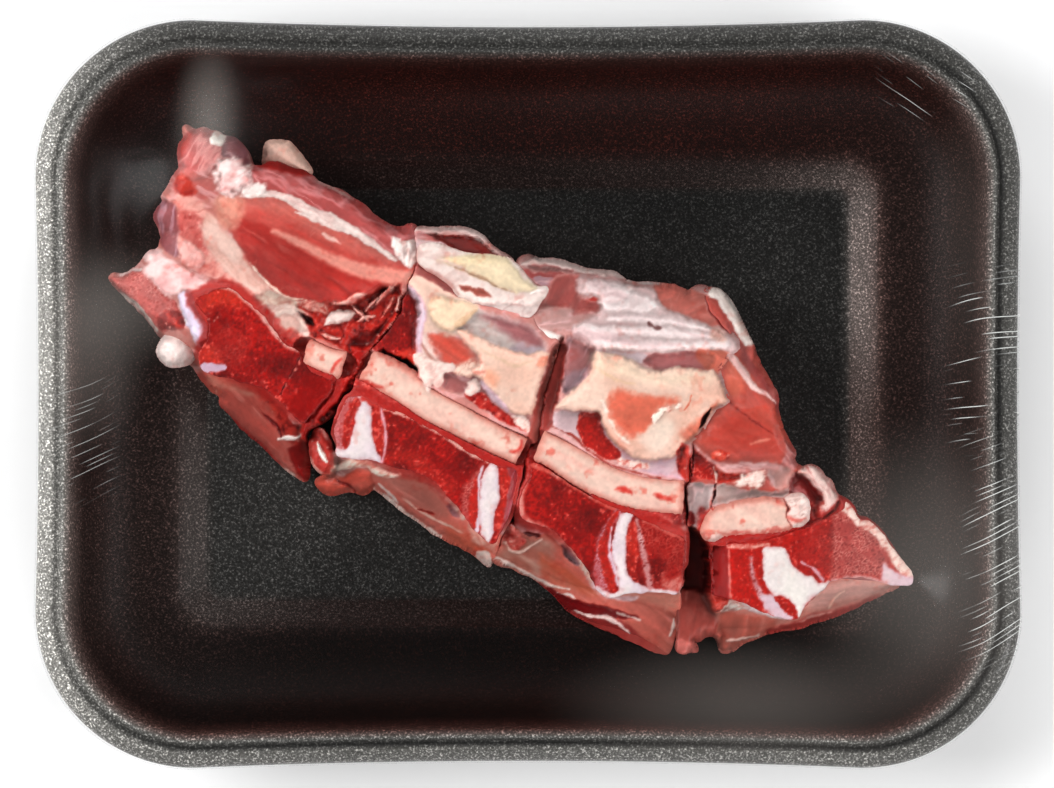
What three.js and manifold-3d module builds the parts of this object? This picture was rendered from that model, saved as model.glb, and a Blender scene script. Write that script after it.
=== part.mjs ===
// A film-wrapped foam tray that holds a lamb neck, sawn in half lengthwise and chopped across into four.
// Millimetres, +Z up, long side of the tray along X, origin at the middle of the footprint.
import * as THREE from "three";
import { ConvexGeometry } from "three/addons/geometries/ConvexGeometry.js";
import { mergeVertices } from "three/addons/utils/BufferGeometryUtils.js";
import Module from "manifold-3d";

const wasm = await Module();
wasm.setup();

// Driving dimensions.
const GAP = 0.3; // air between pieces that touch
const FILM = 0.4; // drawn thickness of the film
const BASE = GAP + FILM; // the tray stands on the film folded under it
const HALF_LENGTH = 112.2; // tray, at the lip
const HALF_WIDTH = 85.5;
const CORNER = 36; // radius of the lip's corners
const LEAST_CORNER = 2.5; // radius of the sunk panel's inner corners
const BOW_LENGTH = 0.6; // how far the film pulls in the middle of the short sides
const BOW_WIDTH = 1.3; // and of the long sides
const FOAM = 3.5; // tray wall
const LIP_TOP = BASE + 27.4;
const RING_FLOOR = BASE + 7.6; // step around the sunk panel
const PANEL_TOP = BASE + FOAM;
const STEP_OUTER = 31; // distances in from the lip's edge
const STEP_INNER = 38;
const WALL_TOP = 8.2;
const WALL_FOOT = 25;
const SAWN_LEVEL = 33; // height of the lengthwise saw cut
const BONE_DEPTH = 15; // half a vertebra, below the saw cut
const CORD_RADIUS = 4.2;
const RELIEF_STEP = 6; // grid of the meat's relief
const WALL_EASE = 2; // the meat leaves the steep wall by this much more
const SKY = 60; // above everything

const SIDE_STEPS = 6;
const CORNER_STEPS = 5;

const vec2 = (x, y) => new THREE.Vector2(x, y);
const points = (list) => list.map(([x, y]) => vec2(x, y));
const clamp = THREE.MathUtils.clamp;

// ---- Tray outline and section -------------------------------------------------------------

// The rounded rectangle that lies a distance inside the lip's edge (outside it, if negative).
function trayRing(inset) {
  const a = HALF_LENGTH - inset;
  const b = HALF_WIDTH - inset;
  const r = Math.max(CORNER - inset, LEAST_CORNER);
  const ring = [];
  for (let quarter = 0; quarter < 4; quarter++) {
    const sx = quarter === 0 || quarter === 3 ? 1 : -1;
    const sy = quarter < 2 ? 1 : -1;
    const centre = vec2(sx * (a - r), sy * (b - r));
    for (let i = 0; i <= CORNER_STEPS; i++) {
      const t = ((quarter + i / CORNER_STEPS) * Math.PI) / 2;
      ring.push(vec2(centre.x + r * Math.cos(t), centre.y + r * Math.sin(t)));
    }
    const nextX = quarter === 0 || quarter === 1 ? -1 : 1;
    const nextY = quarter === 0 || quarter === 3 ? 1 : -1;
    const end = quarter % 2 === 0 ? vec2(nextX * (a - r), sy * b) : vec2(sx * a, nextY * (b - r));
    const start = ring[ring.length - 1];
    for (let i = 1; i < SIDE_STEPS; i++) ring.push(start.clone().lerp(end, i / SIDE_STEPS));
  }
  const fade = clamp(1 - inset / STEP_OUTER, 0, 1);
  return ring.map((p) =>
    vec2(
      p.x - Math.sign(p.x) * fade * BOW_LENGTH * bulge(p.y / b) * Math.abs(p.x / a),
      p.y - Math.sign(p.y) * fade * BOW_WIDTH * bulge(p.x / a) * Math.abs(p.y / b),
    ),
  );
}

const bulge = (t) => Math.max(0, 1 - t * t);

// How far a point lies inside the lip's edge.
function insetAt(x, y) {
  const qx = Math.abs(x) - (HALF_LENGTH - CORNER);
  const qy = Math.abs(y) - (HALF_WIDTH - CORNER);
  if (qx > 0 && qy > 0) return CORNER - Math.hypot(qx, qy);
  return CORNER - Math.max(qx, qy);
}

const wall = new THREE.CubicBezierCurve(
  vec2(WALL_TOP, LIP_TOP - 1.2),
  vec2(10.5, BASE + 13),
  vec2(15, RING_FLOOR),
  vec2(WALL_FOOT, RING_FLOOR),
).getPoints(5);

// Inside face of the tray from the wall's top to the sunk panel, as (inset, height).
const hollow = [...wall, vec2(STEP_OUTER, RING_FLOOR), vec2(STEP_INNER, PANEL_TOP), vec2(STEP_INNER + 6, PANEL_TOP)];

// Turned lip: rolled outer edge, a shallow groove and an inner bead.
const lip = points([
  [0, LIP_TOP - 3.6],
  [0.5, LIP_TOP - 1.7],
  [2.2, LIP_TOP - 0.5],
  [4.1, LIP_TOP - 0.1],
  [5.1, LIP_TOP - 0.7],
  [6.5, LIP_TOP],
  [7.6, LIP_TOP - 0.4],
]);

// A path moved square to itself, to the side that faces away from the food.
function offset(path, by) {
  return path.map((p, i) => {
    const along = path[Math.min(i + 1, path.length - 1)].clone().sub(path[Math.max(i - 1, 0)]).normalize();
    return vec2(p.x + along.y * by, p.y - along.x * by);
  });
}

const underside = offset(hollow, FOAM).map((p) => vec2(p.x, Math.max(p.y, BASE)));
const outside = [vec2(0.6, LIP_TOP - 4.6), vec2(3.4, LIP_TOP - 4), ...underside.slice(2)];

function trayHeight(d) {
  for (let i = 1; i < hollow.length; i++) {
    const [p, q] = [hollow[i - 1], hollow[i]];
    if (d <= q.x) return THREE.MathUtils.lerp(p.y, q.y, clamp((d - p.x) / (q.x - p.x), 0, 1));
  }
  return PANEL_TOP;
}

// A closed skin through a stack of rings, from the middle of the top out over the edge and back in below.
function ringSkin(rings, first, last) {
  const n = rings[0].length;
  const at = (i, j) => 1 + i * n + (j % n);
  const vertices = [first, ...rings.flat(), last];
  const index = [];
  for (let j = 0; j < n; j++) {
    index.push(0, at(0, j), at(0, j + 1));
    for (let i = 0; i + 1 < rings.length; i++) {
      index.push(at(i, j), at(i + 1, j), at(i + 1, j + 1));
      index.push(at(i, j), at(i + 1, j + 1), at(i, j + 1));
    }
    index.push(vertices.length - 1, at(rings.length - 1, j + 1), at(rings.length - 1, j));
  }
  const geometry = new THREE.BufferGeometry().setFromPoints(vertices);
  geometry.setIndex(index);
  geometry.computeVertexNormals();
  return geometry;
}

const level = (inset, z) => trayRing(inset).map((p) => new THREE.Vector3(p.x, p.y, z));

function trayGeometry() {
  const within = [...lip, ...hollow].reverse();
  const rings = [...within, ...outside].map((p) => level(p.x, p.y));
  return ringSkin(rings, new THREE.Vector3(0, 0, PANEL_TOP), new THREE.Vector3(0, 0, BASE));
}

// ---- The meat's shape ----------------------------------------------------------------------

// Middle of the spinal canal, from the thick end to the thin end.
const CANAL = points([
  [-98, 38],
  [-80, 30],
  [-66, 23.5],
  [-55, 16],
  [-45, 8.5],
  [-36, 5.5],
  [-20, -3.5],
  [0, -12],
  [16, -18.5],
  [35, -24],
  [46, -28],
  [58, -26],
  [75, -20],
  [92, -14],
]);

// Height of the upper side against the distance from the canal: belly muscle, sawn bone, canal, arch and back muscle.
const PROFILE = [
  [-34, 8.5],
  [-26, 11],
  [-20, 21],
  [-15, 29.5],
  [-13, SAWN_LEVEL - 0.5],
  [-4, SAWN_LEVEL],
  [6, SAWN_LEVEL],
  [14, 36],
  [20, 37],
  [28, 33.5],
  [36, 26],
  [46, 15],
];

function canalDistance(x, y) {
  let best = Infinity;
  let side = 1;
  for (let i = 1; i < CANAL.length; i++) {
    const [a, b] = [CANAL[i - 1], CANAL[i]];
    const [dx, dy] = [b.x - a.x, b.y - a.y];
    const t = clamp(((x - a.x) * dx + (y - a.y) * dy) / (dx * dx + dy * dy), 0, 1);
    const [ex, ey] = [x - a.x - t * dx, y - a.y - t * dy];
    const d = Math.hypot(ex, ey);
    if (d < best) {
      best = d;
      side = dx * ey - dy * ex > 0 ? 1 : -1;
    }
  }
  return best * side;
}

function interpolate(table, t) {
  const next = table.findIndex(([s]) => s > t);
  if (next === 0) return table[0][1];
  if (next < 0) return table[table.length - 1][1];
  const [[s0, z0], [s1, z1]] = [table[next - 1], table[next]];
  return THREE.MathUtils.lerp(z0, z1, (t - s0) / (s1 - s0));
}

const TILT_START = -70; // the thick end drops from here, over the tray's wall
const TILT = 0.35;
const BRIDGE = { right: 41, top: -45, z: 17 }; // low meat that still ties the last two pieces together

function meatTop(x, y) {
  if (x < BRIDGE.right && x > BRIDGE.right - 8 && y < BRIDGE.top) return BRIDGE.z;
  return interpolate(PROFILE, canalDistance(x, y)) - TILT * Math.max(0, TILT_START - x);
}

// ---- Solids ----------------------------------------------------------------------------------

function toSolid(geometry) {
  const bare = geometry.clone();
  for (const name of ["normal", "uv"]) bare.deleteAttribute(name);
  const merged = mergeVertices(bare, 1e-4);
  const mesh = new wasm.Mesh({
    numProp: 3,
    vertProperties: merged.attributes.position.array,
    triVerts: new Uint32Array(merged.index.array),
  });
  return new wasm.Manifold(mesh);
}

function toGeometry(solid) {
  const mesh = solid.getMesh();
  const geometry = new THREE.BufferGeometry();
  geometry.setAttribute("position", new THREE.BufferAttribute(mesh.vertProperties, 3));
  geometry.setIndex(new THREE.BufferAttribute(mesh.triVerts, 1));
  geometry.computeVertexNormals();
  return geometry;
}

function prism(outline, low, high) {
  const geometry = new THREE.ExtrudeGeometry(new THREE.Shape(outline), { depth: high - low, bevelEnabled: false });
  geometry.translate(0, 0, low);
  return toSolid(geometry);
}

// The outline moved outwards by a small amount.
function grown(outline, by) {
  const turn = Math.sign(THREE.ShapeUtils.area(outline));
  return outline.map((p, i) => {
    const before = outline.at(i - 1);
    const after = outline[(i + 1) % outline.length];
    const n1 = vec2(p.y - before.y, before.x - p.x).normalize();
    const n2 = vec2(after.y - p.y, p.x - after.x).normalize();
    const n = n1.add(n2).normalize().multiplyScalar(turn * by);
    return p.clone().add(n);
  });
}

// A block over the outline's box, between the tray and the relief, on a square grid.
function reliefBlock(outline) {
  const box = new THREE.Box2().setFromPoints(outline).expandByScalar(RELIEF_STEP);
  const nx = Math.ceil((box.max.x - box.min.x) / RELIEF_STEP);
  const ny = Math.ceil((box.max.y - box.min.y) / RELIEF_STEP);
  const grid = new THREE.PlaneGeometry(1, 1, nx, ny);
  const place = grid.attributes.position;
  const count = place.count;
  const vertices = [];
  for (const upper of [true, false])
    for (let i = 0; i < count; i++) {
      const x = THREE.MathUtils.lerp(box.min.x, box.max.x, place.getX(i) + 0.5);
      const y = THREE.MathUtils.lerp(box.min.y, box.max.y, place.getY(i) + 0.5);
      const floor = trayHeight(insetAt(x, y) - WALL_EASE) + 2 * GAP;
      vertices.push(new THREE.Vector3(x, y, upper ? Math.max(meatTop(x, y), floor + 3) : floor));
    }
  const faces = [...grid.index.array];
  const index = [...faces];
  for (let i = 0; i < faces.length; i += 3) index.push(faces[i] + count, faces[i + 2] + count, faces[i + 1] + count);
  const edge = [];
  for (let i = 0; i <= nx; i++) edge.push(i);
  for (let j = 1; j <= ny; j++) edge.push(j * (nx + 1) + nx);
  for (let i = nx - 1; i >= 0; i--) edge.push(ny * (nx + 1) + i);
  for (let j = ny - 1; j > 0; j--) edge.push(j * (nx + 1));
  edge.forEach((a, k) => {
    const b = edge[(k + 1) % edge.length];
    index.push(a, b, b + count, a, b + count, a + count);
  });
  const geometry = new THREE.BufferGeometry().setFromPoints(vertices);
  geometry.setIndex(index);
  return toSolid(geometry);
}

// An oval bar along a route, with its ends cut square.
function bar(route, radius, squash = 1) {
  const curve = new THREE.CatmullRomCurve3(route.map(([x, y, z]) => new THREE.Vector3(x, y, z)));
  const sides = 10;
  const section = [];
  for (let i = 0; i < sides; i++) {
    const t = (2 * Math.PI * i) / sides;
    section.push(vec2(radius * squash * Math.cos(t), radius * Math.sin(t)));
  }
  const steps = 3 * (route.length - 1);
  return toSolid(new THREE.ExtrudeGeometry(new THREE.Shape(section), { steps, extrudePath: curve }));
}

function knob([x, y, z], [rx, ry, rz], turn = 0) {
  const ball = new THREE.SphereGeometry(1, 12, 7);
  ball.scale(rx, ry, rz);
  ball.rotateZ(turn);
  ball.translate(x, y, z);
  return toSolid(ball);
}

// ---- Outlines seen from above ---------------------------------------------------------------

const CHUNKS = [
  [
    [-95, 26.5], [-92, 28.5], [-88, 29], [-87, 31.5], [-84, 33.2], [-83.5, 36], [-84.5, 39.5], [-83, 43.5],
    [-81.5, 47], [-78.8, 50], [-79.3, 54], [-78, 58], [-75, 60.3], [-71, 59.5], [-66, 57.5], [-63.5, 54],
    [-62.5, 51.5], [-57, 52.5], [-52, 51], [-49, 49.8], [-44, 47], [-39, 44], [-35, 40], [-30, 37.8],
    [-25.4, 36.5], [-25.4, 29], [-27.6, 24.5], [-29.5, 19], [-33, 14.8], [-38, 10.5], [-40.2, 5], [-42, 1],
    [-45, -4], [-50, -9], [-50.8, -19.5], [-52, -20], [-58, -15], [-62, -10.5], [-66, -7.5], [-71, -3],
    [-71.5, 0.5], [-75, 3], [-77, 6], [-81, 9], [-84, 12], [-88, 17], [-92, 21],
  ],
  [
    [-24.6, 29], [-24.6, 36.8], [-20, 38], [-12, 37.6], [-8, 35], [-2.5, 29.5], [0, 27], [3, 23], [5.4, 18.5],
    [6.2, 14.5], [5.6, 11.5], [4.5, 8], [2.5, 2], [1, -4], [0, -9], [-1.4, -14], [-3, -18], [-4.8, -27],
    [-7, -33], [-8, -38], [-9, -40.3], [-12, -37.5], [-16, -35], [-25, -29.5], [-31, -25], [-35, -22],
    [-38, -23.5], [-41, -22.5], [-47, -23], [-49, -21], [-48, -18.5], [-49.6, -16], [-49.4, -12], [-46.5, -10],
    [-43, -10], [-42, -5], [-39.6, 0], [-38.2, 4], [-36.8, 8.5], [-34.5, 11], [-31.2, 14.8], [-28.4, 19],
    [-26.6, 24.5],
  ],
  [
    [-1.3, 30.2], [2, 31], [8, 30], [14, 28.4], [20, 27.5], [26, 25.7], [33, 25.2], [37, 24], [40.4, 23.4],
    [40.4, 22], [41.3, 18.5], [44, 15.5], [46.6, 12.6], [47.3, 10.6], [45.2, 8.8], [42.2, 5.2], [43.5, 1.5],
    [43.3, -1], [41, -3], [38.1, -8], [35.4, -11], [35.6, -20], [34.9, -27], [34.7, -33], [34.2, -40],
    [33.6, -47], [32.9, -55], [32.6, -59.3], [29, -59.7], [25, -57], [18, -54], [13, -51], [8, -47.5],
    [4, -44], [-1, -42], [-5, -39.5], [-7.2, -38], [-5.5, -35], [-4.2, -32], [-2.2, -29], [-1, -25],
    [0, -20.5], [0.7, -15.5], [1.4, -11.5], [3.7, -8], [6, -6], [6.4, -2], [7.8, 3], [8.5, 8], [9.2, 13],
    [7.4, 14.8], [6.4, 18.8], [4, 23.5], [1, 27.6],
  ],
  [
    [41.3, 23.6], [41.3, 22], [42.1, 18.9], [44.7, 16], [47.4, 13], [48.2, 10.6], [46.1, 8.2], [43.2, 5],
    [44.5, 1.6], [44.3, -1.5], [41.8, -3.8], [39, -8.7], [36.4, -11.5], [36.5, -19.6], [42, -20.5],
    [41.5, -24], [39.5, -27.5], [38.3, -30], [40, -33], [41.6, -36], [41.3, -44], [36, -45.5], [34.6, -49],
    [33.9, -55], [33.6, -58.4], [39, -59.6], [38.4, -57], [42, -55.5], [44.5, -59.5], [46, -60], [50, -58],
    [57, -55.2], [63, -54.5], [70, -52.5], [77, -50], [82, -47.3], [85.5, -44.8], [86.6, -42], [86.4, -40],
    [83.6, -36], [80, -31.8], [77.5, -28.3], [75, -28], [73.5, -25.5], [70, -23], [69, -20], [66, -17],
    [62, -16.2], [60.5, -14], [58.5, -10], [56.5, -4], [56, 0], [53, 5], [50, 10], [48.5, 15], [47.5, 20],
    [46, 22.5], [44.5, 23.8],
  ],
].map(points);

// The sawn faces of the vertebral bodies, with the discs between them.
const VERTEBRAE = [
  [
    [-75, 21.5], [-72, 24], [-68, 24.3], [-65, 22.5], [-62, 19.5], [-58, 15.5], [-54.5, 11], [-51.5, 6.5],
    [-47, 3], [-43.2, 2], [-44.6, -3], [-49.5, -8], [-53, -5], [-57, -1], [-60, 1.5], [-64, 2.5], [-68, 3.5],
    [-72, 5], [-73.5, 8], [-73, 12], [-73, 17],
  ],
  [
    [-38.6, -1], [-35, -2.2], [-30, -3.8], [-25, -5.6], [-20, -8.4], [-15, -11.2], [-9, -14.6], [-2.4, -16.9],
    [-2.6, -20], [-4.3, -28], [-6.8, -33], [-9, -33], [-12, -31], [-16, -26], [-20, -21], [-25, -18],
    [-32, -16.5], [-37, -15.8], [-42.8, -15], [-43.6, -9], [-42, -4.5],
  ],
  [
    [0.6, -15.6], [4, -17], [8, -19], [12, -21.4], [18, -24.8], [22, -26.2], [26, -28.2], [32, -30.2],
    [35.3, -32.5], [34.9, -40], [34, -46], [27, -45], [20, -44.5], [15, -43], [13, -38.5], [10, -34],
    [6, -30.5], [2, -29], [-1.6, -28.4], [-1.5, -25], [-0.6, -20.5],
  ],
  [
    [41.2, -35], [45, -33.6], [52, -32.6], [58, -31.6], [63, -30], [67, -28], [71, -25.5], [74.5, -28.4],
    [78, -29.8], [82, -34], [86.9, -39.8], [86.9, -42.3], [80, -42.8], [73, -41.5], [68, -43], [63, -46.5],
    [61, -50.5], [54, -50], [46, -46.5], [41, -45.5], [41, -40],
  ],
].map(points);

const CORD_Z = SAWN_LEVEL - 2.6;
const CORDS = [
  [[-49.2, 9.2, CORD_Z], [-45.6, 8.2, CORD_Z], [-42, 7.4, CORD_Z]],
  [[-36.2, 6.6, CORD_Z], [-30, 2.6, CORD_Z], [-21, -2.5, CORD_Z], [-12, -7.8, CORD_Z], [-3, -12.4, CORD_Z]],
  [[3.2, -11, CORD_Z], [10, -15, CORD_Z], [18, -19, CORD_Z], [26, -21.8, CORD_Z], [34.6, -23.4, CORD_Z]],
  [[40.6, -29.6, CORD_Z], [46, -28.2, CORD_Z], [52, -27.2, CORD_Z], [60.5, -26.4, CORD_Z]],
];
const CORD_SIZES = [3.1, CORD_RADIUS, CORD_RADIUS, 3.7];

// The elastic ligament in its fat, folded over the arch of the second piece.
const LIGAMENT = points([
  [-24, 32.6], [-21, 33.6], [-15, 32.2], [-8, 31.4], [-3.5, 29], [0, 25.8], [4.2, 23.8], [2.8, 20.4],
  [0, 17.8], [-6, 18.4], [-11, 20.2], [-16, 22.2], [-18, 25], [-23.4, 28.4],
]);
const LIGAMENT_Z = [30.5, 38.6];

const KNOBS = {
  cartilage_knob_left: [[-79.6, 8.6, 24.5], [4.8, 4, 4.2], -0.4],
  cartilage_knob_top: [[-55.6, 54, 17], [6.2, 3.9, 4.4], -0.7],
};

// ---- Film ------------------------------------------------------------------------------------

const WINDOW_INSET = STEP_INNER + 14; // bare foam in the middle of the base, inside the folded film
const HELD_UP_FROM = 20; // only the food above this height reaches the film
const outsideSection = [...lip.slice().reverse(), ...outside];

const cornersOf = ({ geometry }) => {
  const place = geometry.attributes.position;
  return Array.from({ length: place.count }, (_, i) => new THREE.Vector3().fromBufferAttribute(place, i));
};

// The taut envelope that clears the tray and the food by a distance.
function envelope(food, clear) {
  const around = offset(outsideSection, clear).flatMap((p) => level(p.x, p.y));
  const over = food.flatMap(cornersOf).filter((p) => p.z > HELD_UP_FROM);
  for (const p of over) p.z += GAP + clear;
  return toSolid(new ConvexGeometry([...around, ...over]));
}

function filmSolid(food) {
  const window = prism(trayRing(WINDOW_INSET), -1, BASE);
  return envelope(food, BASE).subtract(envelope(food, GAP)).subtract(window);
}

// ---- Materials and assembly -------------------------------------------------------------------

const standard = (color, roughness, more = {}) =>
  new THREE.MeshStandardMaterial({ color, roughness, metalness: 0, ...more });
const foamMaterial = standard(0x1c1a1a, 0.6);
const filmMaterial = standard(0xffffff, 0.05, { transparent: true, opacity: 0.12 });
const muscleMaterial = standard(0xa8483f, 0.4);
const boneMaterial = standard(0x9c2018, 0.5);
const cordMaterial = standard(0xf0c4b4, 0.35);
const ligamentMaterial = standard(0xeedcb4, 0.4);
const cartilageMaterial = standard(0xe6cdc2, 0.35);

const pack = new THREE.Group();

function add(name, geometry, material) {
  const mesh = new THREE.Mesh(geometry, material);
  mesh.name = name;
  pack.add(mesh);
}


const knobs = Object.entries(KNOBS).map(([name, [centre, radii, turn]]) => {
  add(name, toGeometry(knob(centre, radii, turn)), cartilageMaterial);
  const room = knob(centre, radii.map((r) => r + 1.5 * GAP), turn);
  return room;
});

const ligamentBlock = prism(LIGAMENT, ...LIGAMENT_Z);
add("ligament", toGeometry(ligamentBlock), ligamentMaterial);
const ligamentRoom = prism(grown(LIGAMENT, GAP), LIGAMENT_Z[0] - GAP, SKY);

CHUNKS.forEach((outline, i) => {
  const number = i + 1;
  const cord = bar(CORDS[i], CORD_SIZES[i]);
  const cordRoom = bar(CORDS[i], CORD_SIZES[i] + 1.5 * GAP);
  const boneFloor = SAWN_LEVEL - BONE_DEPTH;
  const block = reliefBlock(outline);
  const bone = prism(VERTEBRAE[i], boneFloor, SAWN_LEVEL).subtract(cordRoom);
  const boneRoom = prism(grown(VERTEBRAE[i], GAP), boneFloor - GAP, SKY);
  let meat = block.intersect(prism(outline, 0, SKY)).subtract(boneRoom).subtract(cordRoom);
  if (number === 2) meat = meat.subtract(ligamentRoom);
  if (number === 1) for (const room of knobs) meat = meat.subtract(room);
  add("meat_" + number, toGeometry(meat), muscleMaterial);
  add("vertebra_" + number, toGeometry(bone), boneMaterial);
  add("spinal_cord_" + number, toGeometry(cord), cordMaterial);
});

add("film", toGeometry(filmSolid(pack.children.slice())), filmMaterial);
add("tray", trayGeometry(), foamMaterial);

export default pack;
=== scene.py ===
"""Meat tray pack: black foam tray, clear stretch film, and a lamb neck sawn lengthwise and chopped in four.

Lengths in this file are millimetres until a mesh is made; colours are display values from 0 to 255.
"""
import math

import bpy
import mathutils
import numpy as np
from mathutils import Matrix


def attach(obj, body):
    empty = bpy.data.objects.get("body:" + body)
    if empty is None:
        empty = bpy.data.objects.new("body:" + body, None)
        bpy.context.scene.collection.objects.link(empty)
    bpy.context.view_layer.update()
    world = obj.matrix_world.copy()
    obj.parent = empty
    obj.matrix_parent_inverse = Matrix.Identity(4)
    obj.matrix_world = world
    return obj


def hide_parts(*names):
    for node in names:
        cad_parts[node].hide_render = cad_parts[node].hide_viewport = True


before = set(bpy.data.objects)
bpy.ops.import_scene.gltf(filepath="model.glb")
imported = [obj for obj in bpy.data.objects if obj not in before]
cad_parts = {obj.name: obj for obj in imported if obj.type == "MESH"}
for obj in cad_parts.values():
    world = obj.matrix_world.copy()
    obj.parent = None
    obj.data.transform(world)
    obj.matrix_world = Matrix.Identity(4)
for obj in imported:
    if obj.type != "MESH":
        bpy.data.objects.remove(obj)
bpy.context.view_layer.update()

MM = 0.001
FINE = 0.27  # spacing of the meat's surface grid
FAR = 1e3

# ---- Numbers: noise, curves and distances --------------------------------------------------------


def hashed(ix, iy, seed):
    """A number from 0 to 1 for each cell of a lattice."""
    h = (ix.astype(np.int64) * 374761393 + iy.astype(np.int64) * 668265263 + seed * 974634777) & 0xFFFFFFFF
    h = ((h ^ (h >> 13)) * 1274126177) & 0xFFFFFFFF
    return ((h ^ (h >> 16)) & 0xFFFF) / 65535.0


def noise(x, y, size, seed):
    """Smooth value noise from -1 to 1, with bumps of the given size."""
    x, y = x / size, y / size
    ix, iy = np.floor(x), np.floor(y)
    fx, fy = x - ix, y - iy
    fx, fy = fx * fx * (3 - 2 * fx), fy * fy * (3 - 2 * fy)
    low = hashed(ix, iy, seed) * (1 - fx) + hashed(ix + 1, iy, seed) * fx
    high = hashed(ix, iy + 1, seed) * (1 - fx) + hashed(ix + 1, iy + 1, seed) * fx
    return 2 * (low * (1 - fy) + high * fy) - 1


def fbm(x, y, size, seed, octaves=3):
    """A few octaves of noise, summed, from about -1 to 1."""
    total, weight = 0, 0
    for k in range(octaves):
        total = total + noise(x, y, size / 2**k, seed + 17 * k) / 2**k
        weight += 1 / 2**k
    return total / weight


def cells(x, y, size, seed):
    """Distance to the nearest and the second scattered point, in cell sizes, and the nearest one's number."""
    x, y = x / size, y / size
    ix, iy = np.floor(x), np.floor(y)
    first = np.full(x.shape, 9.0)
    second = np.full(x.shape, 9.0)
    number = np.zeros(x.shape)
    for dx in (-1, 0, 1):
        for dy in (-1, 0, 1):
            cx, cy = ix + dx, iy + dy
            d = np.hypot(cx + hashed(cx, cy, seed) - x, cy + hashed(cx, cy, seed + 5) - y)
            nearer = d < first
            second = np.where(nearer, first, np.minimum(second, d))
            number = np.where(nearer, hashed(cx, cy, seed + 9), number)
            first = np.where(nearer, d, first)
    return first, second, number


def turned(x, y, degrees, stretch):
    """Coordinates along and across a direction, squeezed along it so that noise runs out into fibres."""
    c, s = math.cos(math.radians(degrees)), math.sin(math.radians(degrees))
    return (x * c + y * s) / stretch, y * c - x * s


def step(low, high, value):
    """A smooth step from 0 at low to 1 at high; low may be the greater one."""
    t = np.clip((value - low) / (high - low), 0, 1)
    return t * t * (3 - 2 * t)


def mix(a, b, t):
    return a + (b - a) * t


def pts(text):
    """Points from text such as "x,y x,y"; a third value is a width."""
    return np.array([[float(v) for v in pair.split(",")] for pair in text.split()])


def spline(points, closed, steps=5):
    """Catmull-Rom curve through the points, whatever they hold."""
    n = len(points)
    out = []
    for i in range(n if closed else n - 1):
        if closed:
            a, b, c, d = (points[(i + k) % n] for k in (-1, 0, 1, 2))
        else:
            a, b, c, d = (points[min(max(i + k, 0), n - 1)] for k in (-1, 0, 1, 2))
        for k in range(steps):
            t = k / steps
            square, cube = 2 * a - 5 * b + 4 * c - d, 3 * b - a - 3 * c + d
            out.append(0.5 * (2 * b + (c - a) * t + square * t**2 + cube * t**3))
    if not closed:
        out.append(points[-1])
    return np.array(out)


def segment_distance(x, y, a, b):
    """Distance to a segment, and how far along it the nearest point lies."""
    dx, dy = b[0] - a[0], b[1] - a[1]
    t = np.clip(((x - a[0]) * dx + (y - a[1]) * dy) / max(dx * dx + dy * dy, 1e-9), 0, 1)
    return np.hypot(x - a[0] - t * dx, y - a[1] - t * dy), t


def inner_distance(x, y, loop):
    """Distance to a closed outline, positive inside it."""
    best = np.full(x.shape, FAR)
    odd = np.zeros(x.shape, bool)
    for i in range(len(loop)):
        a, b = loop[i - 1], loop[i]
        d, _ = segment_distance(x, y, a, b)
        best = np.minimum(best, d)
        if a[1] != b[1]:
            crosses = (a[1] > y) != (b[1] > y)
            odd ^= crosses & (x < (b[0] - a[0]) * (y - a[1]) / (b[1] - a[1]) + a[0])
    return np.where(odd, best, -best)


def line_distance(x, y, path):
    """Distance inside a line whose third column is its width, and how far along it that is."""
    best = np.full(x.shape, -FAR)
    along = np.zeros(x.shape)
    for i in range(len(path) - 1):
        d, t = segment_distance(x, y, path[i], path[i + 1])
        inside = (path[i][2] + (path[i + 1][2] - path[i][2]) * t) / 2 - d
        nearer = inside > best
        best = np.where(nearer, inside, best)
        along = np.where(nearer, (i + t) / (len(path) - 1), along)
    return best, along


# ---- Looks: each gives a colour, a relief in millimetres and how spongy the surface is -----------


def rgb(r, g, b):
    return np.array([r, g, b], float)


def tone(colour, change):
    """The colour made lighter or darker, keeping its hue."""
    return colour * (1 + change[..., None])


def marrow(base=rgb(154, 12, 9), dark=rgb(110, 7, 6), speck=0.15, bright=rgb(182, 26, 19)):
    """Sawn bone: a red spongy face with pale crumbs, more of them towards its edge."""

    def look(x, y, d):
        patch = fbm(x, y, 7, 3)
        grit = noise(x, y, 0.42, 5) + 0.7 * noise(x, y, 0.9, 7)
        colour = mix(base, dark, step(0.0, 0.7, patch)[..., None])
        colour = mix(colour, bright, (0.8 * step(-0.1, 0.6, -patch + 0.35 * grit))[..., None])
        first, second, _ = cells(x + 0.3 * grit, y, 0.8, 21)
        net = step(0.22, 0.02, second - first) * step(-0.2, 0.5, fbm(x, y, 4, 12))
        crumbs = step(0.95, 1.5, grit + 0.5 * fbm(x, y, 3.5, 14) + 0.6 * step(2.0, 0, d) + 2 * (speck - 0.15))
        colour = mix(colour, rgb(196, 54, 42), (0.25 * net)[..., None])
        colour = mix(colour, rgb(228, 146, 132), (0.42 * crumbs)[..., None])
        return tone(colour, 0.1 * grit), 0.12 * crumbs + 0.08 * net + 0.06 * grit, 1.0

    return look


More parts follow.
